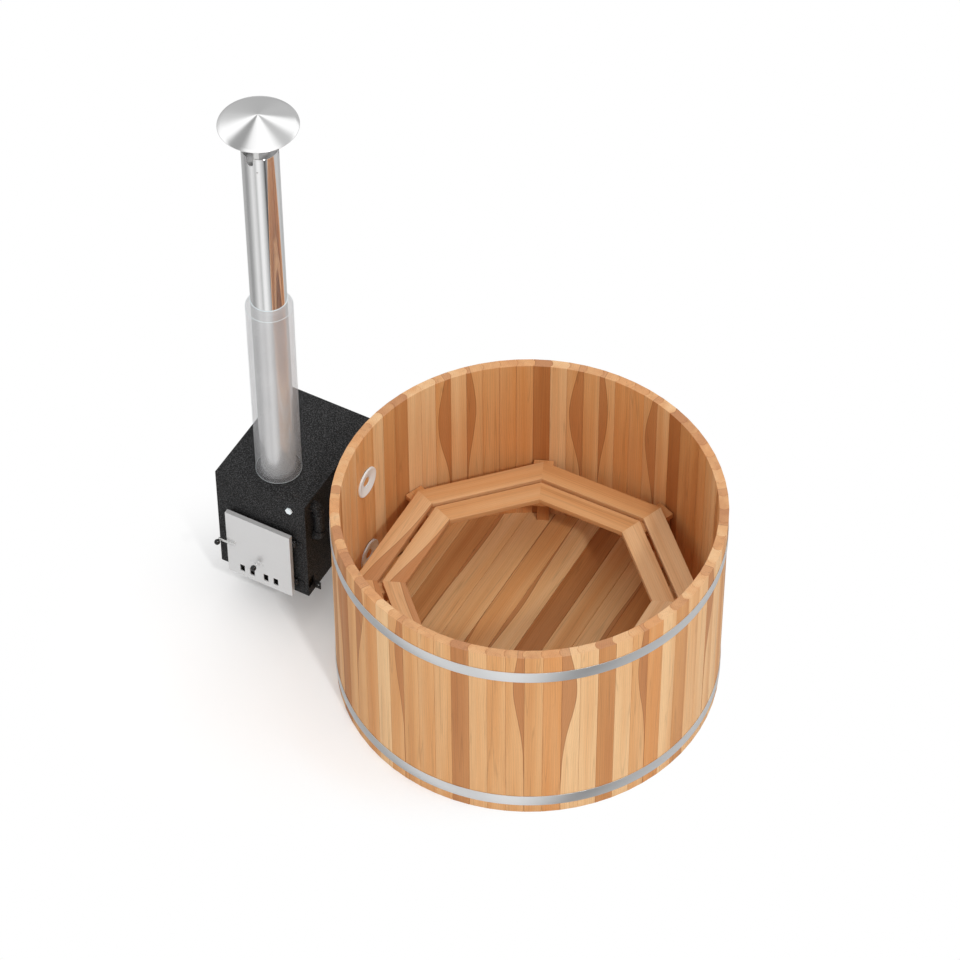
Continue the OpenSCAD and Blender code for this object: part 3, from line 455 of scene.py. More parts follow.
def plank_grain():
    """Figure of a sawn board. Grain is the place in the board (across, through, along), Plank its
    seed, tone and half width, Heart its heartwood: signed width as a share of the board, the
    place along the board where it is widest, and how orange the board is. The heartwood reaches
    in from one edge by width * exp(-((along - widest) / spread) ** 2), and growth bands follow it."""
    tree, given, out = new_group(
        "Plank grain", [("Vector", label, None) for label in ("Grain", "Plank", "Heart")],
        [("Float", label) for label in
         ("Tone", "Heart", "Rim", "Bands", "Streaks", "Pores", "Lines", "Orange")])
    spread, least_reach, rim_depth, band_turns = 0.29, 0.035, 0.0022, 620.0
    seed, board_tone, half = parts(tree, given["Plank"])
    width, widest, orange = parts(tree, given["Heart"])
    across, through, along = parts(tree, given["Grain"])
    jump = packed(tree, *(times(tree, seed, step) for step in (1.731, 0.377, 3.119)))
    here = vector(tree, "ADD", given["Grain"], jump)
    slow = minus(tree, noise(tree, here, stretch=(5.0, 5.0, 3.2), detail=1.0), 0.5)
    fine = minus(tree, noise(tree, here, stretch=(80.0, 80.0, 12.0), detail=1.0), 0.5)

    share = maths(tree, "ABSOLUTE", width)
    there = maths(tree, "GREATER_THAN", share, 0.01)
    off = maths(tree, "DIVIDE", minus(tree, along, widest), spread)
    bulge = maths(tree, "EXPONENT", times(tree, times(tree, off, off), -1.0))
    reach = times(tree, madd(tree, bulge, share, least_reach), times(tree, half, 2.0))
    from_edge = madd(tree, across, maths(tree, "SIGN", width), half)
    wobble = madd(tree, fine, 0.0012, times(tree, slow, 0.010))
    depth = maths(tree, "ADD", minus(tree, reach, from_edge), wobble)
    rim = ramp(tree, maths(tree, "ABSOLUTE", minus(tree, depth, rim_depth)), 0.0038, 0.0)

    plain = madd(tree, slow, 0.030, madd(tree, through, 0.6, across))
    field = maths(tree, "ADD", times(tree, depth, there),
                  times(tree, plain, minus(tree, 1.0, there)))
    wave = maths(tree, "SINE", madd(tree, fine, 1.5, times(tree, field, band_turns)))
    pores = noise(tree, here, stretch=(900.0, 900.0, 26.0), detail=1.0)
    crossing = minus(tree, noise(tree, here, stretch=(34.0, 34.0, 0.7), detail=1.0), 0.5)
    cloud = minus(tree, noise(tree, here, stretch=(15.0, 15.0, 0.55)), 0.5)
    give(tree, out,
         Heart=times(tree, ramp(tree, depth, -0.0004, 0.0018), there),
         Rim=times(tree, rim, there),
         Bands=madd(tree, wave, 0.5, 0.5),
         Streaks=noise(tree, here, stretch=(330.0, 330.0, 4.0), detail=3.0, rough=0.6),
         Pores=ramp(tree, pores, 0.60, 0.74),
         Lines=ramp(tree, maths(tree, "ABSOLUTE", crossing), 0.022, 0.0),
         Tone=madd(tree, cloud, 0.75, board_tone, clamp=True),
         Orange=madd(tree, cloud, 1.6, orange, clamp=True))
    return tree


def brush_marks():
    """Fine parallel scratches: noise that is stretched along one axis of the given coordinates."""
    tree, given, out = new_group("Brush marks", [("Vector", "Place", None)],
                                 [("Float", "Marks"), ("Float", "Clouds")])
    give(tree, out,
         Marks=noise(tree, given["Place"], stretch=(4.0, 700.0, 700.0), rough=0.7),
         Clouds=noise(tree, given["Place"], scale=7.0, detail=3.0))
    return tree


def speckles():
    """Grains of a textured coat: fine noise cut into small raised dots over slower mottling."""
    tree, given, out = new_group("Speckles", [("Vector", "Place", None), ("Float", "Size", 0.003)],
                                 [("Float", "Dots"), ("Float", "Mottle"), ("Float", "Height")])
    per_metre = maths(tree, "DIVIDE", 1.0, given["Size"])
    grain = noise(tree, given["Place"], scale=per_metre, rough=0.7)
    give(tree, out, Dots=ramp(tree, grain, 0.46, 0.66), Height=grain,
         Mottle=noise(tree, given["Place"], scale=6.0, detail=3.0))
    return tree


def around_axis():
    """Coordinates that follow a turned piece: (angle times 0.1, distance from the axis, height)."""
    tree, given, out = new_group("Around axis", [("Vector", "Place", None), ("Vector", "Axis", None)],
                                 [("Vector", "Place")])
    x, y, z = parts(tree, vector(tree, "SUBTRACT", given["Place"], given["Axis"]))
    angle = times(tree, maths(tree, "ARCTAN2", y, x), 0.1)
    far = wire(tree, "ShaderNodeVectorMath", {0: packed(tree, x, y)}, operation="LENGTH")
    give(tree, out, Place=packed(tree, angle, far.outputs["Value"], z))
    return tree


def group(tree, maker, values):
    """Places a shared group in a material; each group is made once."""
    if maker.__name__ not in GROUPS:
        GROUPS[maker.__name__] = maker()
    return wire(tree, "ShaderNodeGroup", values, node_tree=GROUPS[maker.__name__]).outputs


# ---------------------------------------------------------------- materials

def new_material(name, roughness=0.5, metallic=0.0, **plain):
    """A material with one Principled BSDF, its plain numbers set on the shader's own sockets."""
    made = bpy.data.materials.new(name)
    made.use_nodes = True
    shader = made.node_tree.nodes["Principled BSDF"]
    shader.inputs["Roughness"].default_value = roughness
    shader.inputs["Metallic"].default_value = metallic
    for key, value in plain.items():
        shader.inputs[key.replace("_", " ")].default_value = value
    MATERIALS[name] = made
    return made.node_tree, shader.inputs


def object_place(tree):
    """The place of a point in metres, or in the world's shader its direction."""
    return tree.nodes.new("ShaderNodeTexCoord").outputs["Object"]


def turned_place(tree, axis):
    return group(tree, around_axis, {"Place": object_place(tree), "Axis": axis})["Place"]


def raise_surface(tree, sockets, height, depth, strength):
    """Bumps the surface by a height from 0 to 1, which stands for a depth in metres."""
    bump = wire(tree, "ShaderNodeBump", {"Height": height, "Distance": depth, "Strength": strength})
    tree.links.new(bump.outputs["Normal"], sockets["Normal"])


def wood(name, tint=(1.0, 1.0, 1.0), contrast=1.0, top=None, inside=0.0, heart_share=0.85):
    """Planed softwood: tone per board, heartwood, growth bands, thin dark lines, streaks and pores.
    Boards differ less on their end grain at the top, and their inner face may get a little painted
    light: a slightly higher gain there."""
    look = bpy.context.scene.wood_look
    tree, sockets = new_material(name, Specular_IOR_Level=0.35)
    notes = {label.capitalize():
             wire(tree, "ShaderNodeAttribute", attribute_name=label).outputs["Vector"]
             for label in ("grain", "plank", "heart")}
    figure = group(tree, plank_grain, notes)
    _, through, up = parts(tree, notes["Grain"])
    tone, heart, streaks = figure["Tone"], figure["Heart"], figure["Streaks"]
    if top is not None:
        end = ramp(tree, up, top - 0.0030, top - 0.0004)
        tone = madd(tree, end, madd(tree, tone, 0.15, 0.10), tone)
        heart = times(tree, heart, madd(tree, end, -0.2, 1.0))
    light = blend_colour(tree, times(tree, tone, 2.0, clamp=True), look.pale, look.warm)
    light = blend_colour(tree, times(tree, figure["Orange"], 0.75), light, look.orange)
    colour = blend_colour(tree, madd(tree, tone, 2.0, -1.0, clamp=True), light, look.brown)
    colour = blend_colour(tree, times(tree, heart, heart_share), colour, look.heart)
    if top is not None:
        colour = blend_colour(tree, times(tree, end, 0.22), colour, look.cut)
    gain = madd(tree, streaks, 0.34 * contrast, 1.0 - 0.17 * contrast)
    for mark, weight in (("Bands", -0.06 * contrast), ("Pores", -0.12 * contrast),
                         ("Lines", -0.16 * contrast), ("Rim", -0.18)):
        gain = madd(tree, figure[mark], weight, gain)
    # Painted light: within 4 mm of the inner face the gain is raised by the share given as inside.
    gain = times(tree, gain, madd(tree, ramp(tree, through, 0.004, 0.0), inside, 1.0))
    colour = vector(tree, "MULTIPLY", colour, tint)
    give(tree, sockets, Base_Color=scaled(tree, colour, gain),
         Roughness=madd(tree, streaks, 0.22, 0.40))
    relief = minus(tree, streaks, times(tree, figure["Pores"], 0.6))
    raise_surface(tree, sockets, relief, 0.0003, 0.6)


def brushed(name, colour, roughness, around=None, marks=0.10, clouds=0.04, metallic=1.0):
    """Steel with fine scratches along X or round a turned axis."""
    tree, sockets = new_material(name, roughness, metallic)
    place = object_place(tree) if around is None else turned_place(tree, around)
    steel = group(tree, brush_marks, {"Place": place})
    gain = madd(tree, steel["Marks"], marks, 1.0 - marks / 2 - clouds / 2)
    gain = madd(tree, steel["Clouds"], clouds, gain)
    uneven = madd(tree, steel["Marks"], 0.12, roughness - 0.09)
    uneven = madd(tree, steel["Clouds"], 0.06, uneven)
    give(tree, sockets, Base_Color=scaled(tree, colour, gain), Roughness=uneven)
    raise_surface(tree, sockets, steel["Marks"], 0.00004, 0.5)


def polished(name, colour, roughness, around, bore=0.0, metallic=1.0):
    """Mirror-bright pipe: faint clouds round the axis, and a dull grey inside its bore."""
    tree, sockets = new_material(name, roughness, metallic)
    place = turned_place(tree, around)
    clouds = group(tree, brush_marks, {"Place": place})["Clouds"]
    inside = ramp(tree, parts(tree, place)[1], bore + 0.0002, bore)
    dull = madd(tree, inside, 0.2, madd(tree, clouds, 0.05, roughness - 0.025))
    give(tree, sockets, Base_Color=scaled(tree, colour, madd(tree, clouds, 0.05, 0.975)),
         Roughness=dull, Metallic=madd(tree, inside, -metallic, metallic))


def coated(name, colour, size=0.0050, roughness=0.66, dots=4.2, relief=0.0009):
    """Matt textured coat with paler grains."""
    tree, sockets = new_material(name, roughness, Specular_IOR_Level=0.3)
    coat = group(tree, speckles, {"Place": object_place(tree), "Size": size})
    gain = madd(tree, coat["Mottle"], 0.3, madd(tree, coat["Dots"], dots, 0.10))
    give(tree, sockets, Base_Color=scaled(tree, colour, gain),
         Roughness=madd(tree, coat["Dots"], -0.12, roughness + 0.04))
    raise_surface(tree, sockets, coat["Height"], relief, 0.8)


def moulded(name, colour, roughness, size=0.0012, relief=0.00008):
    """Rubber, plastic or rope: one colour with a fine surface grain."""
    tree, sockets = new_material(name, roughness)
    skin = group(tree, speckles, {"Place": object_place(tree), "Size": size})
    give(tree, sockets, Base_Color=scaled(tree, colour, madd(tree, skin["Mottle"], 0.25, 0.87)),
         Roughness=madd(tree, skin["Mottle"], 0.12, roughness - 0.06))
    raise_surface(tree, sockets, skin["Height"], relief, 0.7)


def wire_mesh(name, colour, axis, radius=0.102, pitch=0.0026, wire_share=0.20):
    """Fine wire cloth: opaque where a wire runs up or round the sleeve, open between. A wire takes
    its share of every pitch of the way round, angle times radius, and of the height."""
    tree, sockets = new_material(name, roughness=0.45, metallic=0.35)
    angle, _, height = parts(tree, turned_place(tree, axis))
    columns, rows = (
        maths(tree, "LESS_THAN", maths(tree, "FRACT", times(tree, run, per_run)), wire_share)
        for run, per_run in ((angle, 10.0 * radius / pitch), (height, 1.0 / pitch)))
    clouds = group(tree, brush_marks, {"Place": object_place(tree)})["Clouds"]
    give(tree, sockets, Alpha=maths(tree, "MAXIMUM", columns, rows),
         Base_Color=scaled(tree, colour, madd(tree, clouds, 0.3, 0.85)))


def make_materials():
    metal = bpy.context.scene.metal_look
    # inside=0.02 paints light on the staves' inner faces: 2 percent more gain there.
    wood("Stave wood", contrast=0.85, top=tub().height, inside=0.02)
    wood("Floor wood", tint=(0.97, 1.02, 1.04), contrast=1.0)
    wood("Bench wood", tint=(0.96, 0.99, 1.06), contrast=0.75, heart_share=0.75)
    brushed("Hoop steel", metal.brushed, 0.34, around=(0, 0, 0), metallic=0.88)
    brushed("Zinc steel", (0.50, 0.52, 0.54), 0.42, marks=0.05, clouds=0.25)
    brushed("Pale steel", (0.88, 0.96, 0.99), 0.36, marks=0.05, metallic=0.15)
    brushed("Door steel", metal.door, 0.34, marks=0.06, metallic=0.5)
    brushed("Rim steel", (0.86, 0.86, 0.85), 0.30, marks=0.04)
    brushed("Fitting steel", (0.62, 0.62, 0.62), 0.30)
    brushed("Cap steel", (0.97, 0.97, 0.97), 0.13, around=FLUE_AXIS, marks=0.06, clouds=0.02)
    polished("Flue steel", metal.bright, 0.06, FLUE_AXIS, bore=0.0772, metallic=0.91)
    polished("Satin steel", metal.bright, 0.21, FLUE_AXIS, metallic=0.76)
    polished("Bright steel", (0.80, 0.80, 0.80), 0.14, FLUE_AXIS)
    coated("Black coat", metal.coat)
    coated("Blue paint", (0.03, 0.13, 0.40), dots=0.1, roughness=0.3, relief=0.00005)
    coated("Sooted steel", (0.045, 0.038, 0.032), size=0.008, roughness=0.85, dots=0.8)
    coated("Raw casting", (0.05, 0.045, 0.04), size=0.005, roughness=0.8, dots=0.6, relief=0.0009)
    moulded("Seal rubber", (0.018, 0.018, 0.018), 0.55)
    moulded("Knob black", (0.010, 0.010, 0.011), 0.16, relief=0.00001)
    moulded("Rope seal", (0.60, 0.58, 0.52), 0.9, size=0.003, relief=0.0012)
    wire_mesh("Guard mesh", (0.66, 0.66, 0.67), FLUE_AXIS)


# ---------------------------------------------------------------- wooden pieces

def stave_boards():
    """Plank and heart notes of every stave: a fixed seed for the plain ones, then the named ones."""
    s = tub()
    dice = np.random.default_rng(11)
    order = np.arange(s.staves)
    plank = np.stack([order + 1.0, dice.uniform(0.30, 0.48, s.staves),
                      np.full(s.staves, pi * s.radius / s.staves)], 1)
    heart = np.stack([0 * order, 0 * order + 0.8, dice.uniform(0.0, 0.25, s.staves)], 1)
    plank[list(PALE_STAVES), 1] = dice.uniform(0.04, 0.20, len(PALE_STAVES))
    plank[list(DARK_STAVES), 1] = list(DARK_STAVES.values())
    heart[list(ORANGE_STAVES), 2] = 0.8
    for share, places in ((0.80, TEARDROP_STAVES), (-0.56, SPINDLE_STAVES)):
        for number, place in places.items():
            heart[number, :2] = (share, place)
    return plank, heart


def stave_outline():
    """Section of a stave about +X. Along its clockwise edge a bead swells by
    R cos a - R + depth at the distance r = middle + R sin a; the other edge has the same cove."""
    s = tub()
    half = pi / s.staves
    inner, middle, gap = s.radius - s.stave_t, s.radius - s.stave_t / 2, 0.0002
    chord = s.stave_t / 2 - 0.003
    arc = (chord ** 2 + s.bead ** 2) / (2 * s.bead)
    a = np.linspace(-1, 1, 11) * np.arcsin(chord / arc)
    r = np.concatenate([[inner], middle + arc * np.sin(a), [s.radius]])
    swell = np.concatenate([[0], arc * np.cos(a) - arc + s.bead, [0]])
    sides = []
    for turn, side in ((-half, gap - swell), (half, -gap - swell)):
        sides.append(np.stack([r * cos(turn) - side * sin(turn),
                               r * sin(turn) + side * cos(turn)], 1))
    corners = (0, len(r) - 1, len(r), 2 * len(r) - 1)
    return softened(np.concatenate([sides[0], sides[1][::-1]]), corners, s.edge)


def stave_rings(angle):
    """One stave: its section, whose inner side steps out by the groove's depth at the floor,
    carried up Z with eased ends, then turned to its place in the ring."""
    s = tub()
    inner, plain, groove, slack, step = s.radius - s.stave_t, stave_outline(), 0.010, 0.0003, 0.0002
    deep = np.stack([np.maximum(plain[:, 0], inner + groove), plain[:, 1]], 1)
    low, high = FLOOR_BOTTOM - slack, FLOOR_TOP + slack
    ends = [(z, shrunk(plain, inset)) for z, inset in eased_stations(s.height, s.edge)]
    foot, top = ends[:EASE_STEPS + 1], ends[EASE_STEPS + 1:]
    rings = foot + [(low - step, plain), (low, deep), (high, deep), (high + step, plain),
                    (0.3, plain), (0.7, plain)] + top
    points = np.stack([np.column_stack([section, np.full(len(section), z)])
                       for z, section in rings])
    grain = points[..., [1, 0, 2]] - [0, inner, 0]
    return turned(points, angle), grain


class HOTTUB_OT_staves(Operator):
    """Raise the four quarters of the stave wall"""
    bl_idname = "hottub.staves"
    bl_label = "Staves"

    def execute(self, context):
        s, (planks, hearts) = tub(), stave_boards()
        quarter = s.staves // 4
        for turn, side in enumerate(("front", "right", "back", "left"), -1):
            shape = Shape()
            first = turn * quarter - (quarter + 1) // 2
            for index in range(first, first + quarter):
                points, grain = stave_rings(s.phase + (index + 0.5) * 2 * pi / s.staves)
                shape.loft(points, grain, planks[index % s.staves], hearts[index % s.staves])
            shape.build("stave_wall_" + side, "staves_" + side, "stave_wood", "Stave wood")
        return {"FINISHED"}


class HOTTUB_OT_hoops(Operator):
    """Bend the two hoops round the wall and bolt their lugs"""
    bl_idname = "hottub.hoops"
    bl_label = "Hoops"

    def execute(self, context):
        inner, thick, wide, edge = tub().radius + 0.0002, 0.002, 0.060, 0.0006
        lug_gap, lug_thick, lug_reach = 0.026, 0.005, 0.039
        outer, slack = inner + thick, lug_gap / 2 / inner
        band = rounded_section([(wide, inner), (wide, outer), (0, outer), (0, inner)], edge)
        angle = pi / 2 + slack + np.linspace(0, 1, 361) * (2 * pi - 2 * slack)
        lug = rounded_section(rectangle(-lug_thick / 2, lug_thick / 2, 0, wide), edge)
        for node, z in HOOP_BOTTOMS.items():
            shape = Shape()
            shape.loft(swept(band[:, 1], z + band[:, 0], angle)[:, ::-1])
            for side in (-1, 1):
                middle = side * (lug_gap + lug_thick) / 2
                shape.loft(np.stack([
                    np.column_stack([middle + lug[:, 0], np.full(len(lug), inner + lug_reach - d),
                                     z + lug[:, 1]])
                    for d, _ in eased_stations(lug_reach + thick, edge)]))
            shape.build(node + "_band", node, "hoop_steel", "Hoop steel")
        eased_copy("hoop_bolts", "Zinc steel", 0.0007)
        eased_copy("hoop_nuts", "Zinc steel", 0.0005)
        return {"FINISHED"}


class HOTTUB_OT_floor(Operator):
    """Lay the floor boards in their groove, over the joists"""
    bl_idname = "hottub.floor"
    bl_label = "Floor"

    def execute(self, context):
        boards, reach, half = Shape(), 0.8155, FLOOR_PITCH / 2 - 0.0003
        for k, (tone, orange) in enumerate(FLOOR_BOARDS):
            middle = (k - len(FLOOR_BOARDS) // 2) * FLOOR_PITCH
            left, right = max(middle - half, -reach + 0.002), min(middle + half, reach - 0.002)
            section = rounded_section(rectangle(left, right, FLOOR_BOTTOM, FLOOR_TOP), 0.0018)
            length = np.sqrt(reach ** 2 - section[:, 0] ** 2)
            along = np.array([1, 0.5, 0, -0.5, -1])[:, None] * length
            across, up = (np.broadcast_to(section[:, side], along.shape) for side in (0, 1))
            boards.loft(np.stack([across, along, up], -1), np.stack([across - middle, up, along], -1),
                        (k + 101.0, tone, half), (*FLOOR_HEARTS.get(k, (0, 0)), orange))
        boards.build("floor_planks", "floor_boards", "floor_wood", "Floor wood")
        joists, half, top, clear = Shape(), 0.03, 0.0338, 0.804
        for k, y in enumerate((-0.62, -0.33, 0.0, 0.33, 0.62)):
            reach = np.sqrt(clear ** 2 - (abs(y) + half) ** 2)
            section = rounded_section(rectangle(y - half, y + half, 0, top), 0.0015)
            points = np.stack([np.column_stack([np.full(len(section), x), section])
                               for x in (-reach, 0, reach)])
            joists.loft(points, points[..., [1, 2, 0]] - [y, 0, 0], (k + 151.0, 0.5, half), (0, 0, 0.2))
        joists.build("joist_bars", "floor_joists", "floor_wood", "Floor wood")
        return {"FINISHED"}


def bench_boards(name, node, inner, first_seed):
    """A ring of eight boards. Each section point at distance r runs along the board to
    plus and minus r tan 22.5 degrees, so that the ends mitre tightly."""
    wide, low, high, edge, joint = 0.095, 0.4371, 0.465, 0.0025, 0.0001
    outer = inner + wide
    section = rounded_section([(outer, low), (outer, high), (inner, high), (inner, low)], edge)
    ends = np.array([-1, 0, 1])[:, None] * (section[:, 0] * tan(pi / BENCH_SIDES) - joint)
    out, up = (np.broadcast_to(section[:, side], ends.shape) for side in (0, 1))
    shape, dice = Shape(), np.random.default_rng(first_seed)
    for k in range(BENCH_SIDES):
        grain = np.stack([(out - inner - wide / 2) * (-1 if k % 2 else 1), up, ends], -1)
        angle = tub().bench_turn + k * 2 * pi / BENCH_SIDES
        # Each board's tone is its wood tone together with painted light.
        shape.loft(turned(np.stack([out, ends, up], -1), angle), grain,
                   (first_seed + k + 0.5, BENCH_TONES_AND_PAINTED_LIGHT[k], wide / 2),
                   (*BENCH_HEARTS.get(k, (0, 0)), dice.uniform(0.0, 0.2)))
    shape.build(name, node, "bench_wood", "Bench wood")


def mitre_bars(name, node, corners, runs, low, high, seed, slant=None):
    """Eight equal bars under the mitres. The section lies in two axes and the bar runs in the
    third: R is outward, T round the tub and Z up. The grain follows the bar, or a slant in R and Z."""
    shape, edge, dice = Shape(), 0.0022, np.random.default_rng(seed)
    sections = [(low + d, rounded_section(corners, edge, inset))
                for d, inset in eased_stations(high - low, edge)]
    grain = np.stack([np.column_stack([section, np.full(len(section), place)])
                      for place, section in sections])
    points = grain[..., {"R": [2, 0, 1], "Z": [0, 1, 2], "T": [1, 2, 0]}[runs]]
    if slant is not None:
        out, up = points[..., 0], points[..., 2]
        grain = np.stack([out * sin(slant) - up * cos(slant), points[..., 1],
                          out * cos(slant) + up * sin(slant)], -1)
    grain = grain - grain.mean((0, 1)) * [1, 1, 0]
    for k in range(BENCH_SIDES):
        plank = (seed + k + 0.25, dice.uniform(0.4, 0.6), 0.03)
        heart = (0, 0, dice.uniform(0.1, 0.6))
        angle = tub().bench_turn + (k + 0.5) * 2 * pi / BENCH_SIDES
        shape.loft(turned(points, angle), grain, plank, heart)
    shape.build(name, node, "bench_wood", "Bench wood")


class HOTTUB_OT_bench(Operator):
    """Build the octagonal bench: two rings of boards, arms, legs, braces and screws"""
    bl_idname = "hottub.bench"
    bl_label = "Bench"

    def execute(self, context):
        arm_low, arm_high, leg_face, wall, clear = 0.409, 0.437, 0.765, 0.801, 0.0001
        arm = rectangle(-0.045, 0.045, arm_low, arm_high)
        leg = rectangle(leg_face, wall, -0.027, 0.027)
        brace = [(arm_low - clear, 0.574), (arm_low - clear, 0.634),
                 (0.23, leg_face - clear), (0.16, leg_face - clear)]
        bench_boards("outer_bench", "outer_bench_boards", 0.613, 201)
        bench_boards("inner_bench", "inner_bench_boards", 0.498, 221)
        mitre_bars("arm_bars", "bench_arms", arm, "R", 0.548, wall, 241)
        mitre_bars("leg_bars", "bench_legs", leg, "Z", FLOOR_TOP + clear, arm_low - clear, 261)
        mitre_bars("brace_bars", "bench_braces", brace, "T", -0.014, 0.014, 281, slant=radians(120))
        eased_copy("bench_screws", "Zinc steel", 0.0006)
        return {"FINISHED"}


# ---------------------------------------------------------------- water ways

def dish_profile():
    """Outline of a wall flange, radius and distance back from its face: a rounded outer lip, a flat
    land and a cone down to the bore, closed round the back."""
    lip = [(0.0730, 0.0080), (0.0730, 0.0034), (0.0722, 0.0014), (0.0702, 0.0003), (0.0680, 0.0)]
    dish = [(0.0640, 0.0002), (0.0618, 0.0010), (0.0560, 0.0026), (0.0440, 0.0052),
            (0.0260, 0.0080), (0.0215, 0.0120)]
    tail = [(0.0210, 0.0140), (0.0210, 0.1070), (0.0250, 0.1070), (0.0250, 0.0080)]
    return lip + dish + tail


def hose_profile():
    """Outline of a hose, radius and distance along it. The outside swells by sin(pi t) ** 2 and
    dips under each clamp by exp(-((t - clamp) / 0.1) ** 2), with t from 0 to 1."""
    bore, end, outside, length, round_over = 0.0252, 0.0298, 0.0305, 0.064, 0.0006
    t = np.linspace(0, 1, 33)
    bulge = 0.0012 * np.sin(pi * t) ** 2
    for clamp in (0.16, 0.84):
        bulge = bulge - 0.0006 * np.exp(-((t - clamp) / 0.1) ** 2)
    skin = np.stack([outside + bulge, round_over + t * (length - 2 * round_over)], 1)
    return np.concatenate([[(bore, 0), (end, 0)], skin, [(end, length), (bore, length)]])


class HOTTUB_OT_fittings(Operator):
    """Fit the two wall flanges with gaskets, ring nuts, hoses and clamps"""
    bl_idname = "hottub.fittings"
    bl_label = "Water fittings"

    def execute(self, context):
        flanges, seals = Shape(), Shape()
        flange_face, seal_face, hose_end = -0.797, -0.808, -0.938
        seal = [(0.0252, 0), (0.0712, 0), (0.0720, 0.0008), (0.0720, 0.0022), (0.0712, 0.003),
                (0.0252, 0.003)]
        for z in PORT_HEIGHTS.values():
            flanges.lathe(dish_profile()[::-1], 96, (flange_face, 0, z), "-X")
            seals.lathe(seal, 72, (seal_face, 0, z), "X")
        flanges.build("flange_discs", "wall_flanges", "pale_steel", "Pale steel")
        seals.build("flange_seals", "port_gaskets", "seal_rubber", "Seal rubber")
        eased_copy("port_nuts", "Pale steel", 0.0012)
        for node, z in reversed(PORT_HEIGHTS.items()):
            hose = Shape()
            hose.lathe(hose_profile(), 64, (hose_end, 0, z), "X")
            hose.build(node + "_rubber", node, "seal_rubber", "Seal rubber")
        eased_copy("hose_clamps", "Zinc steel", 0.0004)
        for node, width in (("drain_strainer", 0.0008), ("drain_pipe", 0.0005),
                            ("drain_valve", 0.0006)):
            eased_copy(node, "Fitting steel", width)
        eased_copy("drain_ball", "Bright steel", 0.0, "valve_handle")
        eased_copy("drain_lever", "Blue paint", 0.0010, "valve_handle")
        return {"FINISHED"}


# ---------------------------------------------------------------- stove

def knob_profile(radius, neck, grip):
    """A ball with a flat collar where its stem enters: radius * (sin a, -cos a) about the middle,
    from the front pole back to the collar."""
    a = np.linspace(0.02, pi - np.arcsin(neck / radius), 40)
    ball = np.stack([radius * np.sin(a), -radius * np.cos(a)], 1)
    back = ball[-1, 1]
    ball = np.concatenate([[(0.0001, -radius)], ball])
    collar = [(neck, back + grip * 0.6), (neck * 0.85, back + grip), (0.0001, back + grip)]
    return np.concatenate([ball, collar])


class HOTTUB_OT_stove(Operator):
    """Dress the stove: shell, jacket, grate, plug, riser, stand"""
    bl_idname = "hottub.stove"
    bl_label = "Stove"

    def execute(self, context):
        eased_copy("stove_shell", "Black coat", 0.0016, segments=3)
        for node in ("shell_screws", "riser_elbows", "stand_legs", "stand_frame", "latch_keeper",
                     "hinge_brackets"):
            eased_copy(node, "Black coat", 0.0009)
        dress("Black coat", "shell_base")
        riser, ring, riser_axis = Shape(), Shape(), (-0.918, -0.222, 0)
        riser.lathe(rectangle(0.019, 0.023, 0.5843, 0.7097), 72, riser_axis)
        riser.build("riser_pipe", "side_riser", "black_coat", "Black coat")
        ring.lathe([(0.0785, 0.7911), (0.0940, 0.7911), (0.0940, 0.7921), (0.0932, 0.7927),
                    (0.0820, 0.7945), (0.0785, 0.7945)], 128, FLUE_AXIS)
        ring.build("rosette_ring", "flue_rosette", "black_coat", "Black coat")
        dress("Sooted steel", "water_jacket", "smoke_baffle")
        eased_copy("fire_grate", "Raw casting", 0.0015)
        eased_copy("jacket_plug", "Pale steel", 0.0014, segments=3)
        eased_copy("stand_feet", "Seal rubber", 0.0015)
        dress("Zinc steel", "hinge_pins")
        return {"FINISHED"}


class HOTTUB_OT_door(Operator):
    """Dress the fire door, its latch and its air slide"""
    bl_idname = "hottub.door"
    bl_label = "Fire door"

    def execute(self, context):
        eased_copy("door_panel", "Door steel", 0.0024, "door", segments=4)
        eased_copy("door_liner", "Sooted steel", 0.0006, "door")
        eased_copy("door_gasket", "Rope seal", 0.0008, "door")
        eased_copy("door_knuckles", "Black coat", 0.0008, "door")
        eased_copy("slide_guides", "Sooted steel", 0.0, "door")
        eased_copy("latch_rod", "Rim steel", 0.0008, "latch")
        eased_copy("air_slide", "Door steel", 0.0, "air_slide_body")
        for node, body, centre in (("latch_knob", "latch", (-1.366, -0.366, 0.412)),
                                   ("air_knob", "air_slide_body", (-1.185, -0.364, 0.333))):
            knob, profile = Shape(), knob_profile(radius=0.0134, neck=0.0052, grip=0.0012)
            knob.lathe(profile * [1, -1], 64, centre, "-Y")
            knob.build(node + "_ball", node, "knob_black", "Knob black", body)
        return {"FINISHED"}


# ---------------------------------------------------------------- flue

def slotted_top(columns, top, depth, width, radius, slots):
    """Height of a pipe's rim at each angle: lower by a U-shaped slot where the arc distance to a
    slot's middle is under half its width."""
    away = np.abs((columns[:, None] - np.radians(slots)[None] + pi) % (2 * pi) - pi).min(1) * radius
    half = width / 2
    round_end = np.sqrt(np.clip(half ** 2 - away ** 2, 0, None))
    return np.where(away < half - 1e-7, top - depth + half - round_end, top)


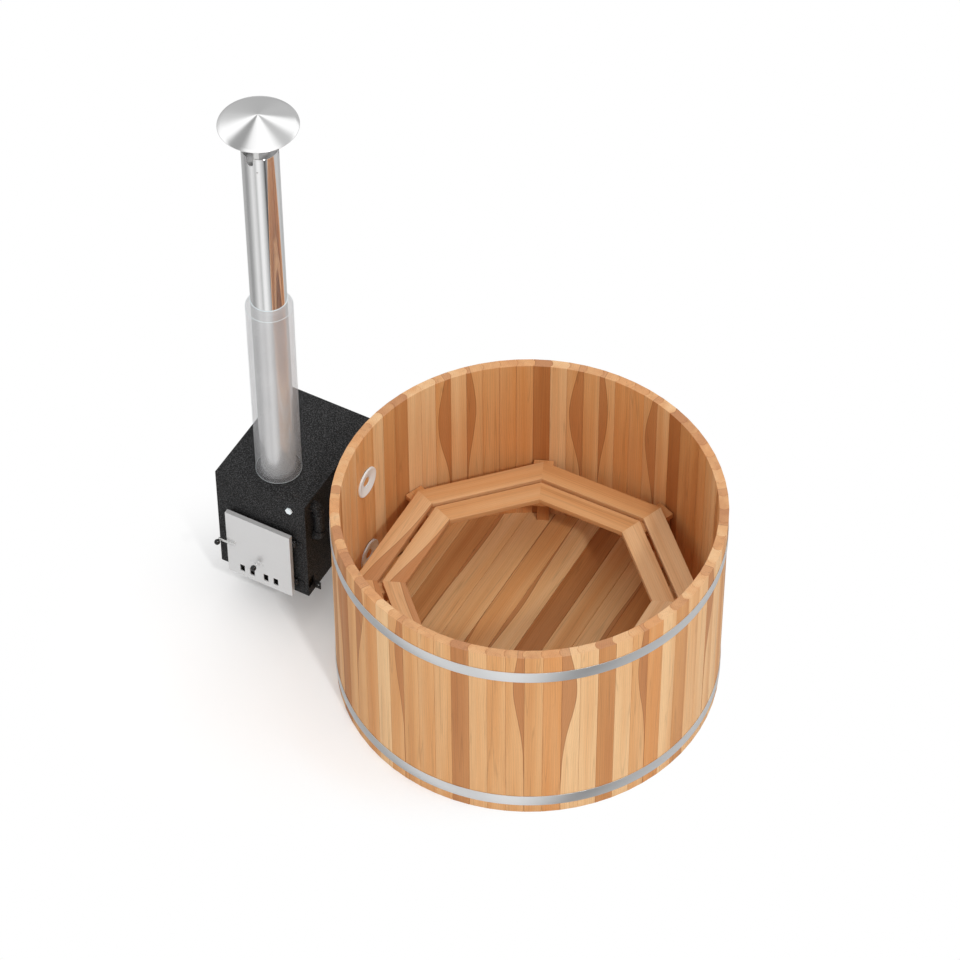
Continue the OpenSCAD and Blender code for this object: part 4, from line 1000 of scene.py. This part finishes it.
def slotted_pipe(slots, rim_height, depth, width):
    """Rings of the upper pipe, one for each angle. Its outline runs up the outside of the socket and
    the pipe, over the rim at its height there, and down the bore. Extra angles trace the slots."""
    socket = [(0.0759, 1.790), (0.0769, 1.790), (0.0769, 1.8358), (PIPE_RADIUS, 1.836)]
    lip = [(PIPE_RADIUS, -0.0003), (0.0777, 0.0), (0.0773, 0.0), (PIPE_BORE, -0.0003)]
    bore = [(PIPE_BORE, 1.838), (0.0759, 1.8375)]
    half, beside = width / 2 / PIPE_RADIUS, 1e-5
    trace = np.concatenate([[-half - beside], np.linspace(-half, half, 17), [half + beside]])
    edges = (np.radians(slots)[:, None] + trace).ravel() % (2 * pi)
    around = np.linspace(0, 2 * pi, 180, endpoint=False)
    columns = np.unique(np.concatenate([around, edges]).round(7))
    rim = slotted_top(columns, rim_height, depth, width, PIPE_RADIUS, slots)
    heights = np.stack([0 * rim + z for _, z in socket] + [rim + drop for _, drop in lip]
                       + [0 * rim + z for _, z in bore], 1)
    radii = np.array([radius for radius, _ in socket + lip + bore])
    return swept(radii, heights, columns) + np.array(FLUE_AXIS)


def cap_profile():
    """Outline of the rain cap: a straight cone, a small lip and the cone's inside below it."""
    apex, eave, sheet = np.array([0.0002, 2.8849]), np.array([0.1655, 2.8305]), 0.0014
    t = np.linspace(0, 1, 12)[:, None]
    outside = apex * (1 - t) + eave * t
    lip = [(0.1667, 2.8298), (0.1669, 2.8292), (0.1665, 2.8286), (0.1655, 2.8290)]
    return np.concatenate([outside, lip, outside[::-1] - [0, sheet]])[::-1]


class HOTTUB_OT_flue(Operator):
    """Raise the flue with its guard and rain cap"""
    bl_idname = "hottub.flue"
    bl_label = "Flue"

    def execute(self, context):
        lower, upper, guard, collar, beads, cap = (Shape() for _ in range(6))
        sleeve = 0.1015
        lower.lathe(rectangle(PIPE_BORE, PIPE_RADIUS, 0.781, 1.836), 160, FLUE_AXIS)
        lower.build("lower_pipe", "lower_flue", "flue_steel", "Satin steel")
        rings = slotted_pipe((-91, 29, 149), rim_height=2.706, depth=0.041, width=0.034)
        upper.add(rings, loft_faces(*rings.shape[:2], closed_path=True))
        upper.build("upper_pipe", "upper_flue", "flue_steel", "Flue steel", smooth=30)
        guard.lathe([(sleeve, 0.7912), (sleeve, 1.7962)], 128, FLUE_AXIS, sheet=True)
        guard.build("guard_mesh_sleeve", "guard_sleeve", "guard_mesh", "Guard mesh")
        collar.lathe([(sleeve, 1.7964), (0.1014, 1.799), (0.0790, 1.8405)], 128, FLUE_AXIS, sheet=True)
        collar.build("guard_mesh_collar", "guard_collar", "guard_mesh", "Guard mesh")
        a = np.linspace(0, 2 * pi, 12, endpoint=False)
        for radius, height, thick in ((0.1009, 1.7970, 0.0010), (0.0795, 1.8398, 0.0010),
                                      (0.1013, 0.7918, 0.0005)):
            bead = np.stack([radius + thick * np.cos(a), height + thick * np.sin(a)], 1)
            beads.lathe(bead, 128, FLUE_AXIS)
        beads.build("guard_beads", None, "guard_mesh", "Pale steel")
        cap.lathe(cap_profile(), 180, FLUE_AXIS)
        cap.build("cap_shell", "cap_cone", "cap_steel", "Cap steel", smooth=60)
        eased_copy("cap_straps", "Rim steel", 0.0005)
        eased_copy("cap_rivets", "Rim steel", 0.0)
        return {"FINISHED"}


# ---------------------------------------------------------------- stage

def tone_ramp(tree, value, stops):
    """Greys joined by straight slopes along a value; stops are (place from 0 to 1, display tone)."""
    node = wire(tree, "ShaderNodeValToRGB", {0: value})
    points = node.color_ramp.elements
    points[0].position, points[1].position = stops[0][0], stops[-1][0]
    for place, _ in stops[1:-1]:
        points.new(place)
    for point, (_, tone) in zip(points, stops):
        point.color = (*srgb(tone, tone, tone), 1.0)
    return node.outputs["Color"]


def studio_tones(tree):
    """What metal shows of the studio: soft upright cards below the horizon, by compass angle, and
    panels overhead, by height, other ones on the left than on the right."""
    x, y, z = parts(tree, object_place(tree))
    turn = madd(tree, maths(tree, "ARCTAN2", y, x), 0.5 / pi, 0.5)
    low = tone_ramp(tree, turn, [((angle + 180) / 360, tone) for angle, tone in LOW_TONES])
    to_the_right = madd(tree, x, 0.837, times(tree, y, 0.547))
    left, right = (tone_ramp(tree, z, tones) for tones in (LEFT_TONES, RIGHT_TONES))
    high = blend_colour(tree, ramp(tree, to_the_right, -0.12, 0.12), left, right)
    return blend_colour(tree, ramp(tree, z, -0.05, 0.05), low, high)


def place_camera(scene):
    """The photograph's camera: a long lens that looks down at the tub from its right front."""
    camera = bpy.data.objects.new("Camera", bpy.data.cameras.new("Camera"))
    scene.collection.objects.link(camera)
    down, right, roll = radians(48.104), radians(28.962), radians(-0.304)
    level = Euler((pi / 2 - down, 0, right)).to_matrix()
    camera.location = (5.32777, -10.05759, 13.87801)
    camera.rotation_euler = (level @ Matrix.Rotation(roll, 3, "Z")).to_euler()
    camera.data.sensor_width, camera.data.lens, camera.data.clip_end = 36.0, 151.331, 200
    scene.camera = camera


def light_studio(scene, look):
    """A dome that is brighter overhead, white to the camera, with its tones in metal, and a sun."""
    world = bpy.data.worlds.new("Studio")
    scene.world = world
    world.use_nodes = True
    tree = world.node_tree
    rays = tree.nodes.new("ShaderNodeLightPath").outputs
    metal = maths(tree, "MAXIMUM", rays["Is Glossy Ray"], rays["Is Transmission Ray"])
    up = maths(tree, "MAXIMUM", parts(tree, object_place(tree))[2], 0.0)
    dome = blend_colour(tree, up, (look.fill * 0.70,) * 3, (look.fill * 1.85,) * 3)
    shown = blend_colour(tree, rays["Is Camera Ray"], dome, (1.0, 1.0, 1.0))
    colour = blend_colour(tree, metal, shown, studio_tones(tree))
    give(tree, tree.nodes["Background"].inputs, Color=colour)

    sun = bpy.data.objects.new("Soft sun", bpy.data.lights.new("Soft sun", "SUN"))
    sun.data.energy, sun.data.angle = look.key, radians(4)
    sun.rotation_euler = Euler((radians(46), 0, radians(54)))
    scene.collection.objects.link(sun)


def floor_paper():
    """White paper that the camera sees as pure white, except in a soft shadow that fades with the
    distance from the tub's left side and from the front of the stove."""
    fades = (((-0.45, 0.0, 0.0), 0.86, 1.18), ((-1.05, -0.5, 0.0), 0.35, 1.05))
    tree, sockets = new_material("Floor paper", 0.9, Specular_IOR_Level=0.0,
                                 Emission_Color=(1, 1, 1, 1))
    seen = tree.nodes.new("ShaderNodeLightPath").outputs["Is Camera Ray"]
    place = object_place(tree)
    white = blend_colour(tree, noise(tree, place, scale=1.5), (0.93,) * 3, (0.95,) * 3)
    tub_fade, stove_fade = (
        ramp(tree, vector(tree, "DISTANCE", place, middle, result="Value"), start, end)
        for middle, start, end in fades)
    far = maths(tree, "MINIMUM", tub_fade, stove_fade)
    share = times(tree, seen, madd(tree, far, 0.9, 0.1))
    give(tree, sockets, Base_Color=blend_colour(tree, share, white, (0.0, 0.0, 0.0)),
         Emission_Strength=times(tree, seen, madd(tree, far, 0.87, 0.13)))


def lay_floor(scene):
    """One large square just under the feet, left out of the metal's reflections."""
    size, below = 30.0, -0.0005
    floor = bpy.data.meshes.new("Floor")
    corners = [(x, y, below) for x, y in rectangle(-size, size, -size, size)]
    floor.from_pydata(corners, [], [(0, 1, 2, 3)])
    floor_paper()
    finished(floor, "Floor paper")
    ground = bpy.data.objects.new("Floor", floor)
    scene.collection.objects.link(ground)
    ground.visible_glossy = False


class HOTTUB_OT_stage(Operator):
    """Set the camera, the light and the white floor"""
    bl_idname = "hottub.stage"
    bl_label = "Stage"

    def execute(self, context):
        place_camera(context.scene)
        light_studio(context.scene, context.scene.stage_look)
        lay_floor(context.scene)
        context.scene.view_settings.view_transform = "Standard"
        return {"FINISHED"}


class HOTTUB_PT_panel(Panel):
    """Lists the steps that dress the tub"""
    bl_idname = "HOTTUB_PT_panel"
    bl_label = "Hot Tub"
    bl_space_type = "VIEW_3D"
    bl_region_type = "UI"
    bl_category = "Hot Tub"

    def draw(self, context):
        for step in STEPS:
            self.layout.operator(step.bl_idname)
        for group_name in GROUP_CLASSES:
            holder = getattr(context.scene, group_name)
            box = self.layout.box()
            for key in holder.__annotations__:
                box.prop(holder, key)


GROUP_CLASSES = {"tub_sizes": TubSizes, "wood_look": WoodLook, "metal_look": MetalLook,
                 "stage_look": StageLook}
STEPS = (HOTTUB_OT_staves, HOTTUB_OT_hoops, HOTTUB_OT_floor, HOTTUB_OT_bench, HOTTUB_OT_fittings,
         HOTTUB_OT_stove, HOTTUB_OT_door, HOTTUB_OT_flue, HOTTUB_OT_stage)


def register():
    for kind in (*GROUP_CLASSES.values(), *STEPS, HOTTUB_PT_panel):
        bpy.utils.register_class(kind)
    for name, kind in GROUP_CLASSES.items():
        setattr(bpy.types.Scene, name, PointerProperty(type=kind))


def unregister():
    for name in GROUP_CLASSES:
        delattr(bpy.types.Scene, name)
    for kind in (HOTTUB_PT_panel, *reversed(STEPS), *reversed(tuple(GROUP_CLASSES.values()))):
        bpy.utils.unregister_class(kind)


def main():
    register()
    make_materials()
    for step in STEPS:
        area, name = step.bl_idname.split(".")
        getattr(getattr(bpy.ops, area), name)()
    bpy.context.view_layer.update()


if __name__ == "__main__":
    main()
